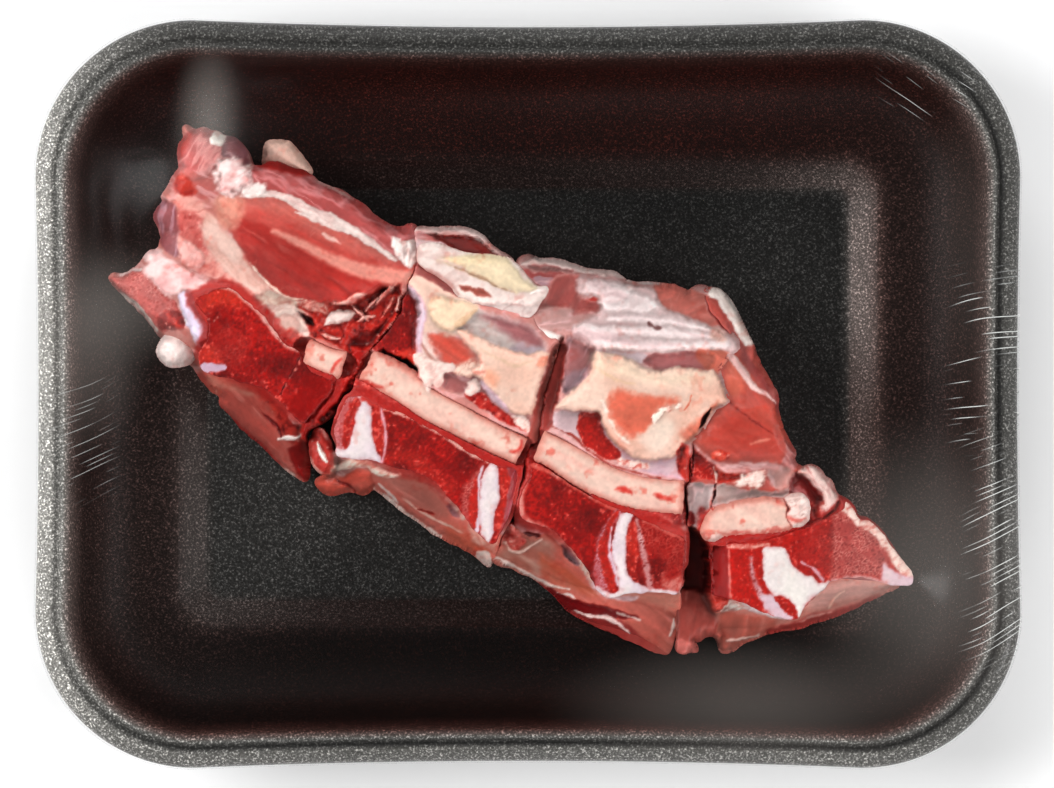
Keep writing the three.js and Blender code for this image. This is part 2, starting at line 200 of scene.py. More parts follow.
def spongy(base=rgb(176, 62, 54), wall=rgb(226, 152, 140), hole=rgb(132, 22, 20)):
    """Cut spongy bone: a net of pale walls around dark holes."""

    def look(x, y, d):
        wx, wy = x + 0.3 * noise(x, y, 1.2, 45), y + 0.3 * noise(x, y, 1.2, 47)
        first, second, number = cells(*turned(wx, wy, 20, 1.25), 0.7, 41)
        net = step(0.35, 0.02, second - first) * step(-0.7, 0.4, fbm(x, y, 3, 43))
        colour = mix(base, hole, (0.7 * step(0.5, 0.8, number) * step(0.6, 0.2, first))[..., None])
        colour = mix(colour, wall, (0.7 * net)[..., None])
        return tone(colour, 0.08 * fbm(x, y, 2.5, 49)), 0.12 * net - 0.08, 1.0

    return look


def muscle(colour, angle, vary=0.1, streak=0.25, pale=rgb(228, 158, 146)):
    """Muscle with fibres along a direction, under pale lines and veils."""

    def look(x, y, d):
        u, v = x + 0.7 * fbm(x, y, 5, 54), y + 0.7 * fbm(x, y, 5, 56)
        along, across = turned(u, v, angle, 9)
        fibre = fbm(along, across, 1.3, 51, 4)
        lines = step(0.3, 0.75, noise(along, across, 0.7, 57)) * step(-0.5, 0.5, fbm(x, y, 5, 59))
        veil = step(0.05, 0.7, fbm(*turned(u, v, angle, 2.5), 3.5, 58))
        out = tone(colour, vary * fbm(x, y, 8, 53) + 0.1 * fibre)
        out = mix(out, pale, (streak * (0.8 * lines + 0.7 * veil))[..., None])
        return out, 0.14 * fibre + 0.05 * lines, 0.15

    return look


def fat(colour=rgb(238, 220, 214), shade=rgb(214, 172, 166), lump=2.4, relief=0.22, angle=None):
    def look(x, y, d):
        u, v = x + 0.6 * fbm(x, y, 2.5, 60), y + 0.6 * fbm(x, y, 2.5, 62)
        u, v = turned(u, v, 25, 1.6) if angle is None else turned(u, v, angle, 4)
        lumps = fbm(u, v, lump, 61, 4)
        folds = 1 - np.abs(fbm(u, v, 1.5 * lump, 65, 3)) * 5
        # Painted shade: the shade colour fills the low parts of the lumps and their folds.
        out = mix(colour, shade, (0.85 * step(-0.1, 0.6, -lumps))[..., None])
        out = mix(out, shade, (0.4 * step(0.2, 1, folds))[..., None])
        return out, relief * (1.3 * lumps - 0.2 * step(0.0, 1, folds)), 0.0

    return look


def disc(colour=rgb(234, 220, 218), cool=rgb(212, 192, 204)):
    def look(x, y, d):
        grain = fbm(*turned(x, y, 70, 3), 1.4, 75)
        t = step(-0.4, 0.6, fbm(x, y, 5, 71) + 0.3 * grain)
        out = mix(colour, cool, (0.55 * t + 0.35 * step(1.4, 0.1, d))[..., None])
        out = mix(out, rgb(222, 150, 152), (0.4 * step(0.8, 0.0, d + 0.3 * grain))[..., None])
        return out, 0.07 * fbm(x, y, 2, 73) + 0.05 * grain, 0.0

    return look


def membrane(colour, angle=20, light=rgb(222, 178, 178), strength=0.55):
    """A thin wet skin with pale ridges along a direction."""

    def look(x, y, d):
        along, across = turned(x + 0.8 * fbm(x, y, 4, 81), y + 0.8 * fbm(x, y, 4, 83), angle, 4)
        ridge = 1 - np.abs(fbm(along, across, 2.2, 85, 3)) * 2.4
        veil = strength * step(0.45, 1.0, ridge) + 0.25 * strength * step(0, 0.7, fbm(x, y, 5, 87))
        out = mix(tone(colour, 0.1 * fbm(x, y, 7, 89)), light, veil[..., None])
        return out, 0.22 * step(0.45, 1, ridge) + 0.12 * fbm(along, across, 1.4, 88), 0.1

    return look


def raw(colour=rgb(160, 26, 18), dark=rgb(92, 8, 8), light=rgb(206, 62, 44), relief=0.55, size=1.8):
    """Torn, wet red tissue."""

    def look(x, y, d):
        lumps = fbm(x, y, size, 91, 4)
        out = mix(colour, dark, step(0.1, 0.65, -lumps)[..., None])
        out = mix(out, light, (0.8 * step(0.15, 0.7, lumps))[..., None])
        first, _, number = cells(x, y, 1.3, 97)
        out = mix(out, rgb(238, 170, 158), (0.7 * step(0.3, 0.12, first) * (number < 0.12))[..., None])
        return out, 1.2 * relief * lumps, 0.4

    return look


def arch(colour=rgb(230, 196, 178), warm=rgb(226, 170, 148)):
    """Smooth covered bone."""

    def look(x, y, d):
        out = mix(colour, warm, (0.7 * step(-0.3, 0.7, fbm(x, y, 10, 101)))[..., None])
        out = mix(out, rgb(222, 164, 144), (0.3 * step(0.2, 0.8, fbm(x, y, 6, 103, 2)))[..., None])
        return tone(out, 0.03 * fbm(x, y, 3, 107)), 0.1 * fbm(x, y, 5, 105, 2), 0.0

    return look


def plain(colour, vary=0.04, relief=0.05):
    """One colour, hardly varied."""

    def look(x, y, d):
        return tone(colour, (vary + 0.03) * fbm(x, y, 2.5, 111)), (relief + 0.05) * fbm(x, y, 1.5, 113), 0.0

    return look


# ---- Relief: a patch of surface over an outline, painted and shaped in layers --------------------

CANAL = spline(pts("-98,38 -80,30 -66,23.5 -55,16 -45,8.5 -36,5.5 -20,-3.5 0,-12 16,-18.5 35,-24 46,-28"
                   " 58,-26 75,-20 92,-14"), False)
PROFILE = pts("-40,8 -34,9.5 -26,15 -20,23 -16,28.5 -14,31.5 -13,32.6 -4,33 6,33 12,35 18,36.3 24,36"
              " 30,33.5 36,29 42,24 50,16")


SEAM_BAND = 10.0


def canal_side(x, y):
    """Distance from the spinal canal, positive towards the back muscle."""
    best = np.full(x.shape, FAR)
    side = np.ones(x.shape)
    for a, b in zip(CANAL[:-1], CANAL[1:]):
        d, _ = segment_distance(x, y, a, b)
        turn = (b[0] - a[0]) * (y - a[1]) - (b[1] - a[1]) * (x - a[0])
        nearer = d < best
        side = np.where(nearer, np.sign(turn), side)
        best = np.where(nearer, d, best)
    return best * side


def near_seam(x, y, seam, fade):
    """1 within a band along a seam, fading out towards the band's edges."""
    path = pts(seam)
    d, _ = line_distance(x, y, np.column_stack([path, np.full(len(path), SEAM_BAND)]))
    return step(0.5, fade, d)


class Relief:
    """A patch of surface over an outline: heights, colours and grain on a fine grid, built up in layers."""

    def __init__(self, outline, seed, spacing=FINE, ragged=0.25, look=None, level=None):
        self.loop = spline(pts(outline), True, 5) if isinstance(outline, str) else outline
        low, high = self.loop.min(0) - 3 * spacing, self.loop.max(0) + 3 * spacing
        xs = np.arange(low[0], high[0], spacing)
        ys = np.arange(low[1], high[1], spacing)
        self.x, self.y = np.meshgrid(xs, ys)
        self.origin, self.spacing, self.seed = low, spacing, seed
        # Every outline shares one warp, so that neighbouring pieces still meet.
        self.wx = self.x + 0.3 * fbm(self.x, self.y, 5, 901) + ragged * fbm(self.x, self.y, 1.6, 903)
        self.wy = self.y + 0.3 * fbm(self.x, self.y, 5, 902) + ragged * fbm(self.x, self.y, 1.6, 904)
        self.seam, self.closed = np.zeros(self.x.shape), np.zeros(self.x.shape)
        self.depth = inner_distance(self.wx, self.wy, self.loop) + 0.2 * fbm(self.x, self.y, 0.9, 905, 2)
        self.z = np.interp(canal_side(self.x, self.y), PROFILE[:, 0], PROFILE[:, 1])
        if level is not None:
            self.z = level(self.x, self.y) if callable(level) else np.full(self.x.shape, float(level))
        self.colour = np.zeros(self.x.shape + (3,)) + 120.0
        self.grain, self.detail = np.zeros(self.x.shape), np.zeros(self.x.shape)
        if look:
            self._blend(np.s_[:, :], self.depth, look, np.ones(self.x.shape), 1)

    def _window(self, points, margin):
        low = np.floor((points.min(0)[:2] - margin - self.origin) / self.spacing).astype(int)
        high = np.ceil((points.max(0)[:2] + margin - self.origin) / self.spacing).astype(int) + 1
        rows, cols = self.x.shape
        return np.s_[max(low[1], 0):max(min(high[1], rows), 0), max(low[0], 0):max(min(high[0], cols), 0)]

    def _blend(self, w, d, look, m, relief):
        colour, dz, grain = look(self.x[w], self.y[w], d)
        self.colour[w] = mix(self.colour[w], colour, m[..., None])
        self.grain[w] = mix(self.grain[w], grain, m)
        self.detail[w] = mix(self.detail[w], relief * dz, m)

    def _frayed(self, w, d, fray):
        """The distance with a torn edge, different for every layer."""
        self.seed += 1
        return d + fray * fbm(self.x[w], self.y[w], 1.3, 13 * self.seed, 3)

    def area(self, outline, look, soft=0.3, z=None, rise=0.0, edge=1.0, dome=0.0, width=4.0, amount=1.0,
             relief=1.0, fray=0.45):
        """A patch with its own look.

        z is its level, rise a step up at its edge and dome a swelling inside it.
        """
        loop = spline(pts(outline), True, 4)
        w = self._window(loop, 3 * soft + 0.5)
        if 0 in self.x[w].shape:
            return self
        d = self._frayed(w, inner_distance(self.wx[w], self.wy[w], loop), fray)
        m = amount * step(-soft, soft, d)
        if z is not None:
            target = z(self.x[w], self.y[w]) if callable(z) else z
            self.z[w] = mix(self.z[w], target, step(-0.9 * edge, 0.9 * edge, d) * amount)
        self._blend(w, d, look, m, relief)
        self.z[w] += rise * step(-0.3, edge, d) + dome * (1 - np.clip(1 - d / width, 0, 1) ** 2) * (d > 0)
        return self

    def line(self, path, look, soft=0.25, rise=0.0, amount=1.0, fade=0.0, relief=1.0, fray=0.3):
        """A line with a width at each point, such as a tendon, a seam or a vein."""
        curve = spline(pts(path), False, 5)
        w = self._window(curve, curve[:, 2].max() + 3 * soft)
        if 0 in self.x[w].shape:
            return self
        d, along = line_distance(self.wx[w], self.wy[w], curve)
        d = self._frayed(w, d, fray)
        m = amount * step(-soft, soft, d)
        if fade:
            m = m * step(0, fade, along) * step(1, 1 - fade, along)
        self._blend(w, d, look, m, relief)
        half = max(curve[:, 2].max() / 2, 0.3)
        self.z[w] += rise * np.clip(1 - (1 - np.clip(d / half, 0, 1)) ** 2, 0, 1) * (m > 0)
        return self

    def lower(self, outline, by, edge=1.0, inset=0.0):
        loop = spline(pts(outline), True, 4) if isinstance(outline, str) else outline
        w = self._window(loop, edge)
        d = inner_distance(self.wx[w], self.wy[w], loop) - inset
        self.z[w] -= by * step(-edge, edge, d)
        return self

    def redden(self, loop):
        """Stains the rim round a sawn bone, except on the flank, where a pale skin meets it."""
        w = self._window(loop, 3)
        x, y = self.x[w], self.y[w]
        d = inner_distance(self.wx[w], self.wy[w], loop)
        reddening = step(-2.6, -1.2, d + 0.6 * fbm(x, y, 1.4, 153)) * step(-21, -15, canal_side(x, y))
        self.colour[w] = mix(self.colour[w], rgb(156, 34, 30), 0.8 * reddening[..., None])

    def join(self, seam, by):
        """Grows the outline along a seam, where the tissue of two pieces still touches."""
        touching = near_seam(self.x, self.y, seam, 2.5)
        self.depth += by * touching
        self.closed = np.maximum(self.closed, touching)
        return self

    def round_edge(self, radius, drop, seams=()):
        """Rounds the surface over at the outline, but hardly where the knife parted two pieces."""
        for seam in seams:
            self.seam = np.maximum(self.seam, near_seam(self.x, self.y, seam, 3.5))
        t = np.clip(1 - self.depth / radius, 0, 1)
        held = (1 - 0.8 * self.seam) * (1 - 0.95 * self.closed)
        self.z -= drop * (1 - np.sqrt(np.clip(1 - t * t, 0, 1))) * held
        return self

    def paint_shade_and_stains(self):
        """Paints shade into hollows and a little light onto bumps, and scatters blood and pale flecks over
        everything.
        """
        x, y = self.x, self.y
        self.z += self.detail
        weight = (self.depth > 0) + 1e-3
        # Painted shade: each point darkens by how far it lies below the mean of its neighbours, and lightens
        # a little where it stands above it.
        shade = np.ones(x.shape)
        for reach, strength in ((3, 0.34), (11, 0.08)):
            hollow = blurred(self.z * weight, reach) / blurred(weight, reach) - self.z
            shade -= strength * np.clip(hollow, -0.8, 0.8) * step(0, 1.5, self.depth + 3 * self.closed)
        self.colour *= np.clip(shade, 0.6, 1.12)[..., None]
        blood = step(0.05, 0.6, fbm(x, y, 3.5, 131)) * step(-0.3, 0.5, noise(x, y, 0.9, 133))
        self.colour *= mix(np.ones(3), np.array([0.95, 0.68, 0.64]), (0.4 * blood)[..., None])
        hair = 1 - np.abs(fbm(*turned(x + fbm(x, y, 3, 135), y, 55, 4), 1.6, 137, 2)) * 9
        hair = step(0.2, 0.9, hair) * step(0.2, 0.6, fbm(x, y, 4, 139)) * step(0.03, 0.12, self.grain)
        self.colour = mix(self.colour, rgb(240, 200, 188), (0.16 * hair)[..., None])
        # The veil of the film takes some of the red away; this puts it back.
        red = np.clip((self.colour[..., 0] - self.colour[..., 1] - 50) / 70, 0, 1)[..., None]
        self.colour *= mix(np.ones(3), np.array([1, 0.87, 0.86]), red)
        self.colour *= 0.972 * (1 + 0.035 * noise(x, y, 0.6, 141))[..., None]
        return self


def blurred(field, reach):
    """Box blur, twice."""
    for _ in range(2):
        for axis in (0, 1):
            total = field.copy()
            for k in range(1, reach + 1):
                total += np.roll(field, k, axis) + np.roll(field, -k, axis)
            field = total / (2 * reach + 1)
    return field


# ---- Meshes --------------------------------------------------------------------------------------


def linear(colour):
    """Display values as linear shares."""
    c = np.clip(np.asarray(colour, float) / 255, 0, 1)
    return np.where(c <= 0.04045, c / 12.92, ((c + 0.055) / 1.055) ** 2.4)


def display(share):
    """The display value that linear() turns back into this share."""
    return 255 * np.where(share <= 0.0031308, share * 12.92,
                          1.055 * np.maximum(share, 1e-9) ** (1 / 2.4) - 0.055)


def make_mesh(name, verts, faces, colours=None, grain=None, material=None, smooth=True):
    mesh = bpy.data.meshes.new(name)
    mesh.from_pydata((np.asarray(verts) * MM).tolist(), [], [list(map(int, f)) for f in faces])
    mesh.validate()
    if smooth:
        mesh.shade_smooth()
    if colours is not None:
        layer = mesh.color_attributes.new("tint", "FLOAT_COLOR", "POINT")
        rgba = np.ones((len(verts), 4))
        rgba[:, :3] = linear(colours)
        layer.data.foreach_set("color", rgba.ravel())
    if grain is not None:
        mesh.attributes.new("grain", "FLOAT", "POINT").data.foreach_set("value", np.asarray(grain, float))
    obj = bpy.data.objects.new(name, mesh)
    bpy.context.scene.collection.objects.link(obj)
    if material:
        mesh.materials.append(material)
    return obj


CLEAR, LOWEST = 0.9, 4.6  # gap between the food and the foam, and the food's lowest level


def floor_height(x, y):
    """The tray's inner surface."""
    return np.interp(inset_at(x, y), TRAY_INSIDE[:, 0], TRAY_INSIDE[:, 1])


def resting(x, y):
    """Height of the food's underside: just clear of the foam, and never below the floor panel's level."""
    return np.maximum(floor_height(x, y) + CLEAR, LOWEST)


def border_ring(quads):
    """The points along the outside of a patch of cells, in order."""
    edges = np.concatenate([quads[:, [k, (k + 1) % 4]] for k in range(4)])
    forward = {(a, b) for a, b in edges.tolist()}
    border = [(a, b) for a, b in forward if (b, a) not in forward]
    after = dict(border)
    start = border[0][0]
    ring = [start]
    while after[ring[-1]] != start:
        ring.append(after[ring[-1]])
    return np.array(ring)


def move_to_outline(r, x, y, used, ring):
    """Moves the border's points out onto the outline, and evens the steps of the grid out."""
    gy, gx = np.gradient(r.depth, r.spacing)
    gx, gy = gx.ravel()[used][ring], gy.ravel()[used][ring]
    length = np.maximum(np.hypot(gx, gy), 0.3)
    move = np.minimum(r.depth.ravel()[used][ring], 0.8 * r.spacing)
    x[ring] -= gx / length * move
    y[ring] -= gy / length * move
    for _ in range(2):
        for v in (x, y):
            v[ring] = 0.5 * v[ring] + 0.25 * (v[np.roll(ring, 1)] + v[np.roll(ring, -1)])


def around(values, reach):
    """Mean of each value on a ring and its neighbours on both sides."""
    return sum(np.roll(values, k, 0) for k in range(-reach, reach + 1)) / (2 * reach + 1)


class Body:
    """The vertices and faces of a closed body, built up ring by ring below a patch."""

    def __init__(self, verts, tints, grains, quads, ring):
        self.verts, self.tints, self.grains, self.faces = [verts], [tints], [grains], [quads]
        self.previous, self.count = ring, len(verts)

    def ring(self, verts, tints, grains):
        now = np.arange(self.count, self.count + len(verts))
        sides = (self.previous, now, np.roll(now, -1), np.roll(self.previous, -1))
        self.verts.append(verts)
        self.tints.append(tints)
        self.grains.append(grains)
        self.faces.append(np.stack(sides, 1))
        self.previous = now
        self.count += len(verts)

    def close(self):
        """Closes the last ring with a fan around its middle."""
        fan = [(a, self.count, b) for a, b in zip(self.previous, np.roll(self.previous, -1))]
        self.verts.append(self.verts[-1].mean(0)[None])
        self.tints.append(self.tints[-1].mean(0)[None])
        self.grains.append(np.zeros(1))
        return [f for part in self.faces for f in part.tolist()] + fan


def relief_mesh(r, name, material, bottom=None, rings=8, bulge=0.35, tuck=1.5, flare=0.0):
    """The relief as a closed body, with walls down to the tray or to a thickness below its edge."""
    r.paint_shade_and_stains()
    rows, cols = r.x.shape
    inside = r.depth > 0
    cell = largest_patch(inside[:-1, :-1] & inside[1:, :-1] & inside[:-1, 1:] & inside[1:, 1:])
    j, i = np.nonzero(cell)
    quads = np.stack([j * cols + i, j * cols + i + 1, (j + 1) * cols + i + 1, (j + 1) * cols + i], 1)
    used = np.unique(quads)
    remap = np.full(rows * cols, -1)
    remap[used] = np.arange(len(used))
    quads = remap[quads]
    x, y, z = r.x.ravel()[used], r.y.ravel()[used], r.z.ravel()[used]
    colours, grain = r.colour.reshape(-1, 3)[used], r.grain.ravel()[used]
    ring = border_ring(quads)
    move_to_outline(r, x, y, used, ring)
    body = Body(np.stack([x, y, z], 1), colours, grain, quads, ring)
    wall = np.stack([x[ring], y[ring]], 1)
    path = np.cumsum(np.hypot(*(np.roll(wall, -2, 0) - np.roll(wall, 2, 0)).T)) / 4
    foot = bottom(x[ring], y[ring], z[ring]) if bottom else resting(x[ring], y[ring])
    foot = np.minimum(foot, z[ring] - 0.2)
    side_colour = mix(around(colours[ring], 14) * 0.94, rgb(170, 62, 54), 0.4)
    rim_colour = around(colours[ring], 3)
    free = 1 - r.seam.ravel()[used][ring]
    for k in range(1, rings + 1):
        t = k / rings
        swell = math.sin(math.pi * min(1.25 * t, 1))
        out = (free * bulge + (1 - free) * flare) * swell - tuck * t**3
        wobble = 0.35 * free * fbm(path, np.full(len(ring), 1.5 * k), 9, r.seed + 40, 2)
        # The edge's small ragged steps fade out down the wall.
        for _ in range(3):
            wall = 0.5 * wall + 0.25 * (np.roll(wall, 1, 0) + np.roll(wall, -1, 0))
        tangent = np.roll(wall, -4, 0) - np.roll(wall, 4, 0)
        tangent /= np.maximum(np.hypot(*tangent.T), 1.0)[:, None]
        px = wall[:, 0] + tangent[:, 1] * (out + wobble * (t < 1))
        py = wall[:, 1] - tangent[:, 0] * (out + wobble * (t < 1))
        pz = mix(z[ring], foot, t**1.6)
        if not bottom:
            pz = np.maximum(pz, floor_height(px, py) + CLEAR)
        fibre = fbm(path / 3 + 0.4 * noise(path, pz, 5, r.seed + 43), pz, 1.6, r.seed + 41, 4)
        pale = step(0.1, 0.7, fbm(path, pz, 6, r.seed + 42))
        side = mix(tone(side_colour, 0.16 * fibre), rgb(222, 158, 146), (0.45 * pale)[..., None])
        body.ring(np.stack([px, py, pz], 1), mix(rim_colour, side, min(1, 2.2 * t)), grain[ring] * (1 - t))
    # Underside: the foot ring drawn in to a few rings and a centre.
    last = body.verts[-1]
    middle = np.array([*deep_point(r), 0.0])
    for t in (0.25, 0.55, 0.85):
        p = mix(last, middle, t)
        p[:, 2] = mix(last[:, 2], last[:, 2].mean(), t) if bottom else resting(p[:, 0], p[:, 1])
        body.ring(p, body.tints[-1], body.grains[-1])
    faces = body.close()
    verts, tints, grains = map(np.concatenate, (body.verts, body.tints, body.grains))
    return make_mesh(name, verts, faces, tints, grains, material)


def deep_point(r):
    """The point farthest inside the outline."""
    k = int(np.argmax(r.depth))
    return r.x.ravel()[k], r.y.ravel()[k]


def largest_patch(cell):
    """Keeps the largest connected patch, and fills pinched corners."""
    label = np.zeros(cell.shape, bool)
    todo = cell.copy()
    best = None
    while todo.any():
        seed = tuple(np.argwhere(todo)[0])
        label[:] = False
        label[seed] = True
        while True:
            grow = label.copy()
            grow[1:] |= label[:-1]
            grow[:-1] |= label[1:]
            grow[:, 1:] |= label[:, :-1]
            grow[:, :-1] |= label[:, 1:]
            grow &= todo
            if (grow == label).all():
                break
            label = grow
        if best is None or label.sum() > best.sum():
            best = label.copy()
        todo &= ~label
    while True:  # two cells that touch only at a corner would pinch the edge
        a, b, c, d = best[:-1, :-1], best[:-1, 1:], best[1:, :-1], best[1:, 1:]
        pinch = (a & d & ~b & ~c) | (b & c & ~a & ~d)
        if not pinch.any():
            return best
        j, i = np.nonzero(pinch)
        for dj in (0, 1):
            for di in (0, 1):
                best[j + dj, i + di] = True


# ---- Tray ----------------------------------------------------------------------------------------

BASE = 0.7
HALF_LENGTH, HALF_WIDTH = 112.18, 85.17
LIP_TOP = BASE + 27.4
RING_FLOOR, PANEL_TOP = BASE + 7.6, BASE + 3.5
FOAM = 3.5
TRAY_POINTS, FILM_POINTS = 420, 560  # points in each ring
STEP_OUTER, STEP_INNER = 31.0, 38.0
BOW_LENGTH, BOW_WIDTH = 0.7, 1.6
CORNER = 36  # radius of the lip's corners


def bezier(a, b, c, d, n):
    t = np.linspace(0, 1, n)[:, None]
    a, b, c, d = map(np.array, (a, b, c, d))
    return a * (1 - t) ** 3 + 3 * b * t * (1 - t) ** 2 + 3 * c * t * t * (1 - t) + d * t**3


WALL = bezier((8.2, LIP_TOP - 1.2), (10.5, BASE + 13), (15, RING_FLOOR), (25, RING_FLOOR), 16)
STEP_CURVE = spline(np.array([
    [27, RING_FLOOR], [30.3, RING_FLOOR], [31.6, RING_FLOOR - 0.5],
    [36.4, PANEL_TOP + 0.5], [38.0, PANEL_TOP], [44, PANEL_TOP]]), False, 4)
TRAY_INSIDE = np.concatenate([WALL, STEP_CURVE])
LIP = spline(np.array([
    [0, LIP_TOP - 3.7], [0.25, LIP_TOP - 2.3], [1.1, LIP_TOP - 1.2], [2.6, LIP_TOP - 0.45],
    [3.9, LIP_TOP - 0.2], [4.6, LIP_TOP - 0.7], [5.2, LIP_TOP - 0.75], [5.9, LIP_TOP - 0.1],
    [6.9, LIP_TOP], [7.7, LIP_TOP - 0.5], [8.2, LIP_TOP - 1.2]]), False, 3)[:-1]


def inset_at(x, y):
    """How far inside the lip's edge a point lies."""
    qx, qy = np.abs(x) - (HALF_LENGTH - CORNER), np.abs(y) - (HALF_WIDTH - CORNER)
    round_part = CORNER - np.hypot(np.maximum(qx, 0), np.maximum(qy, 0))
    return np.where((qx > 0) & (qy > 0), round_part, CORNER - np.maximum(qx, qy))


def tray_ring(inset, n):
    """Points around the tray at a distance inside its lip, from the middle of the right side onwards."""
    a, b = HALF_LENGTH - inset, HALF_WIDTH - inset
    r = np.interp(inset, [0, 12, 25, 31, 38, 60], [CORNER, 26, 13, 8, 3, 1.5])
    # The same share of points goes to each stretch of every ring, so that the rings line up.
    share = np.array([1.0, 1.3, 3.2, 1.3, 2.0, 1.3, 3.2, 1.3, 1.0])
    ends = np.concatenate([[0], np.cumsum(share / share.sum())])
    t = np.arange(n) / n
    k = np.clip(np.searchsorted(ends, t, side="right") - 1, 0, 8)
    f = (t - ends[k]) / (ends[k + 1] - ends[k])
    x, y = np.zeros(n), np.zeros(n)
    straight = {0: (a, 0, a, b - r), 2: (a - r, b, r - a, b), 4: (-a, b - r, -a, r - b),
                6: (r - a, -b, a - r, -b), 8: (a, r - b, a, 0)}
    corner = {1: (a - r, b - r, 0), 3: (r - a, b - r, 90), 5: (r - a, r - b, 180), 7: (a - r, r - b, 270)}
    for key, (x0, y0, x1, y1) in straight.items():
        m = k == key
        x[m], y[m] = mix(x0, x1, f[m]), mix(y0, y1, f[m])
    for key, (cx, cy, turn) in corner.items():
        m = k == key
        angle = np.radians(turn + 90 * f[m])
        x[m], y[m] = cx + r * np.cos(angle), cy + r * np.sin(angle)
    fade = np.clip(1 - inset / STEP_OUTER, 0, 1)
    bow_x = np.clip(1 - (y / (b - r)) ** 2, 0, 1) * BOW_LENGTH * fade
    bow_y = np.clip(1 - (x / (a - r)) ** 2, 0, 1) * BOW_WIDTH * fade
    return np.stack([x - np.sign(x) * bow_x * np.abs(x / a), y - np.sign(y) * bow_y * np.abs(y / b)], 1)


def offset(path, by):
    """The path moved sideways."""
    along = np.gradient(path, axis=0)
    along /= np.maximum(np.linalg.norm(along, axis=1), 1e-6)[:, None]
    return path + np.stack([along[:, 1], -along[:, 0]], 1) * by


def skin(name, rings, material, caps, tint=None, grain=None):
    """A closed skin through rings of points; a cap is the height of the point that closes an end."""
    n = len(rings[0])
    base = np.arange(n)
    verts = [np.concatenate(rings)]
    faces = []
    for k in range(len(rings) - 1):
        a, b = base + k * n, base + (k + 1) * n
        faces += np.stack([a, b, np.roll(b, -1), np.roll(a, -1)], 1).tolist()
    for which, cap in enumerate(caps):
        total = len(rings) * n + which
        verts.append(np.array([[0, 0, cap]]))
        row = base if which == 0 else base + (len(rings) - 1) * n
        pairs = zip(row, np.roll(row, -1))
        faces += [(total, a, b) if which == 0 else (total, b, a) for a, b in pairs]
    return make_mesh(name, np.concatenate(verts), faces, tint, grain, material)


# Brightness of the foam at the lip, the groove inside it, the bead, the top and the foot of the wall, the
# step's two edges and the floor, with light and shade painted in as they fall on each side of the tray, and
# how far the wall takes on a painted wine-red haze, for the film's reddish sheen over it, on each side.
ZONES = (3.6, 4.7, 6.3, 10, 28, 33, 36.4, 38.6)
RED_HAZE = (0, 0, 0, 1, 1, 0.3, 0.3, 0)
SIDES = {"right": ((92, 20, 134, 44, 42, 116, 116, 37), 0.45),
         "left": ((176, 112, 150, 46, 44, 76, 76, 56), 0.38),
         "top": ((70, 60, 74, 42, 34, 34, 36, 28), 1.0),
         "bottom": ((116, 34, 118, 14, 12, 34, 34, 40), 0.95)}
FOAM_HUE = np.array([1.0, 0.985, 0.955])
WINE_HUE = np.array([1.0, 0.3, 0.2])
FLOOR_MIDDLE = rgb(34, 32, 30)
SIDE_BLEND = 7  # how sharply one side's levels give way to the next side's
CENTRE = 72  # inset of the last ring
PLAIN = 60  # an inset whose tint is bare foam


def tray_tint(verts, insets):
    """The foam's colour at each point, with painted light, shade and red haze, from its side of the tray and
    its inset.
    """
    x, y, _ = verts.T
    u, v = x / HALF_LENGTH, y / HALF_WIDTH
    towards = {"right": u, "left": -u, "top": v, "bottom": -v}
    shares = {side: np.maximum(way, 0) ** SIDE_BLEND for side, way in towards.items()}
    total = sum(shares.values()) + 1e-6
    out = 0
    for side, share in shares.items():
        levels, reddening = SIDES[side]
        # The wall's wine red is a painted haze, standing for the film's reddish sheen over it.
        hue = mix(FOAM_HUE, WINE_HUE, reddening * np.interp(insets, ZONES, RED_HAZE)[:, None])
        out = out + np.interp(insets, ZONES, levels)[:, None] * hue * (share / total)[:, None]
    middle = step(0.5, 0.15, np.hypot(u, v))[:, None]
    return mix(out, FLOOR_MIDDLE, middle)


def tray_piece(material):
    """The foam tray as one skin, from the middle of the floor over the lip to the middle of the underside."""
    inner = np.concatenate([LIP, TRAY_INSIDE[1:], [[56, PANEL_TOP], [CENTRE, PANEL_TOP]]])
    outer = offset(TRAY_INSIDE, FOAM)
    outer[:, 1] = np.where(outer[:, 0] > STEP_INNER - 2, BASE, np.maximum(outer[:, 1], BASE))
    below_lip = [[0.5, LIP_TOP - 4.5], [2.2, LIP_TOP - 4.7], [4.0, LIP_TOP - 5.2]]
    under = np.concatenate([below_lip, outer[4:], [[60, BASE], [CENTRE, BASE]]])
    rings, insets = [], []
    for k, (inset, height) in enumerate(np.concatenate([inner[::-1], under])):
        ring = tray_ring(inset, TRAY_POINTS)
        rings.append(np.column_stack([ring, np.full(len(ring), height)]))
        insets += [PLAIN if k > len(inner) + 3 else inset] * len(ring)
    verts = np.concatenate(rings + [np.array([[0, 0, PANEL_TOP], [0, 0, BASE]])])
    tint = tray_tint(verts, np.array(insets + [CENTRE, CENTRE]))
    return skin("foam_tray", rings, material, (PANEL_TOP, BASE), tint=tint)


# ---- Film ----------------------------------------------------------------------------------------

FILM_CELL = 2.0
FILM_TOP, FILM_BASE = 39.5, 0.3
FILM_RIM = LIP_TOP + 0.35
OVER_FOOD = 0.45
SIDES_TOP = LIP_TOP - 6  # below this level the film is plain


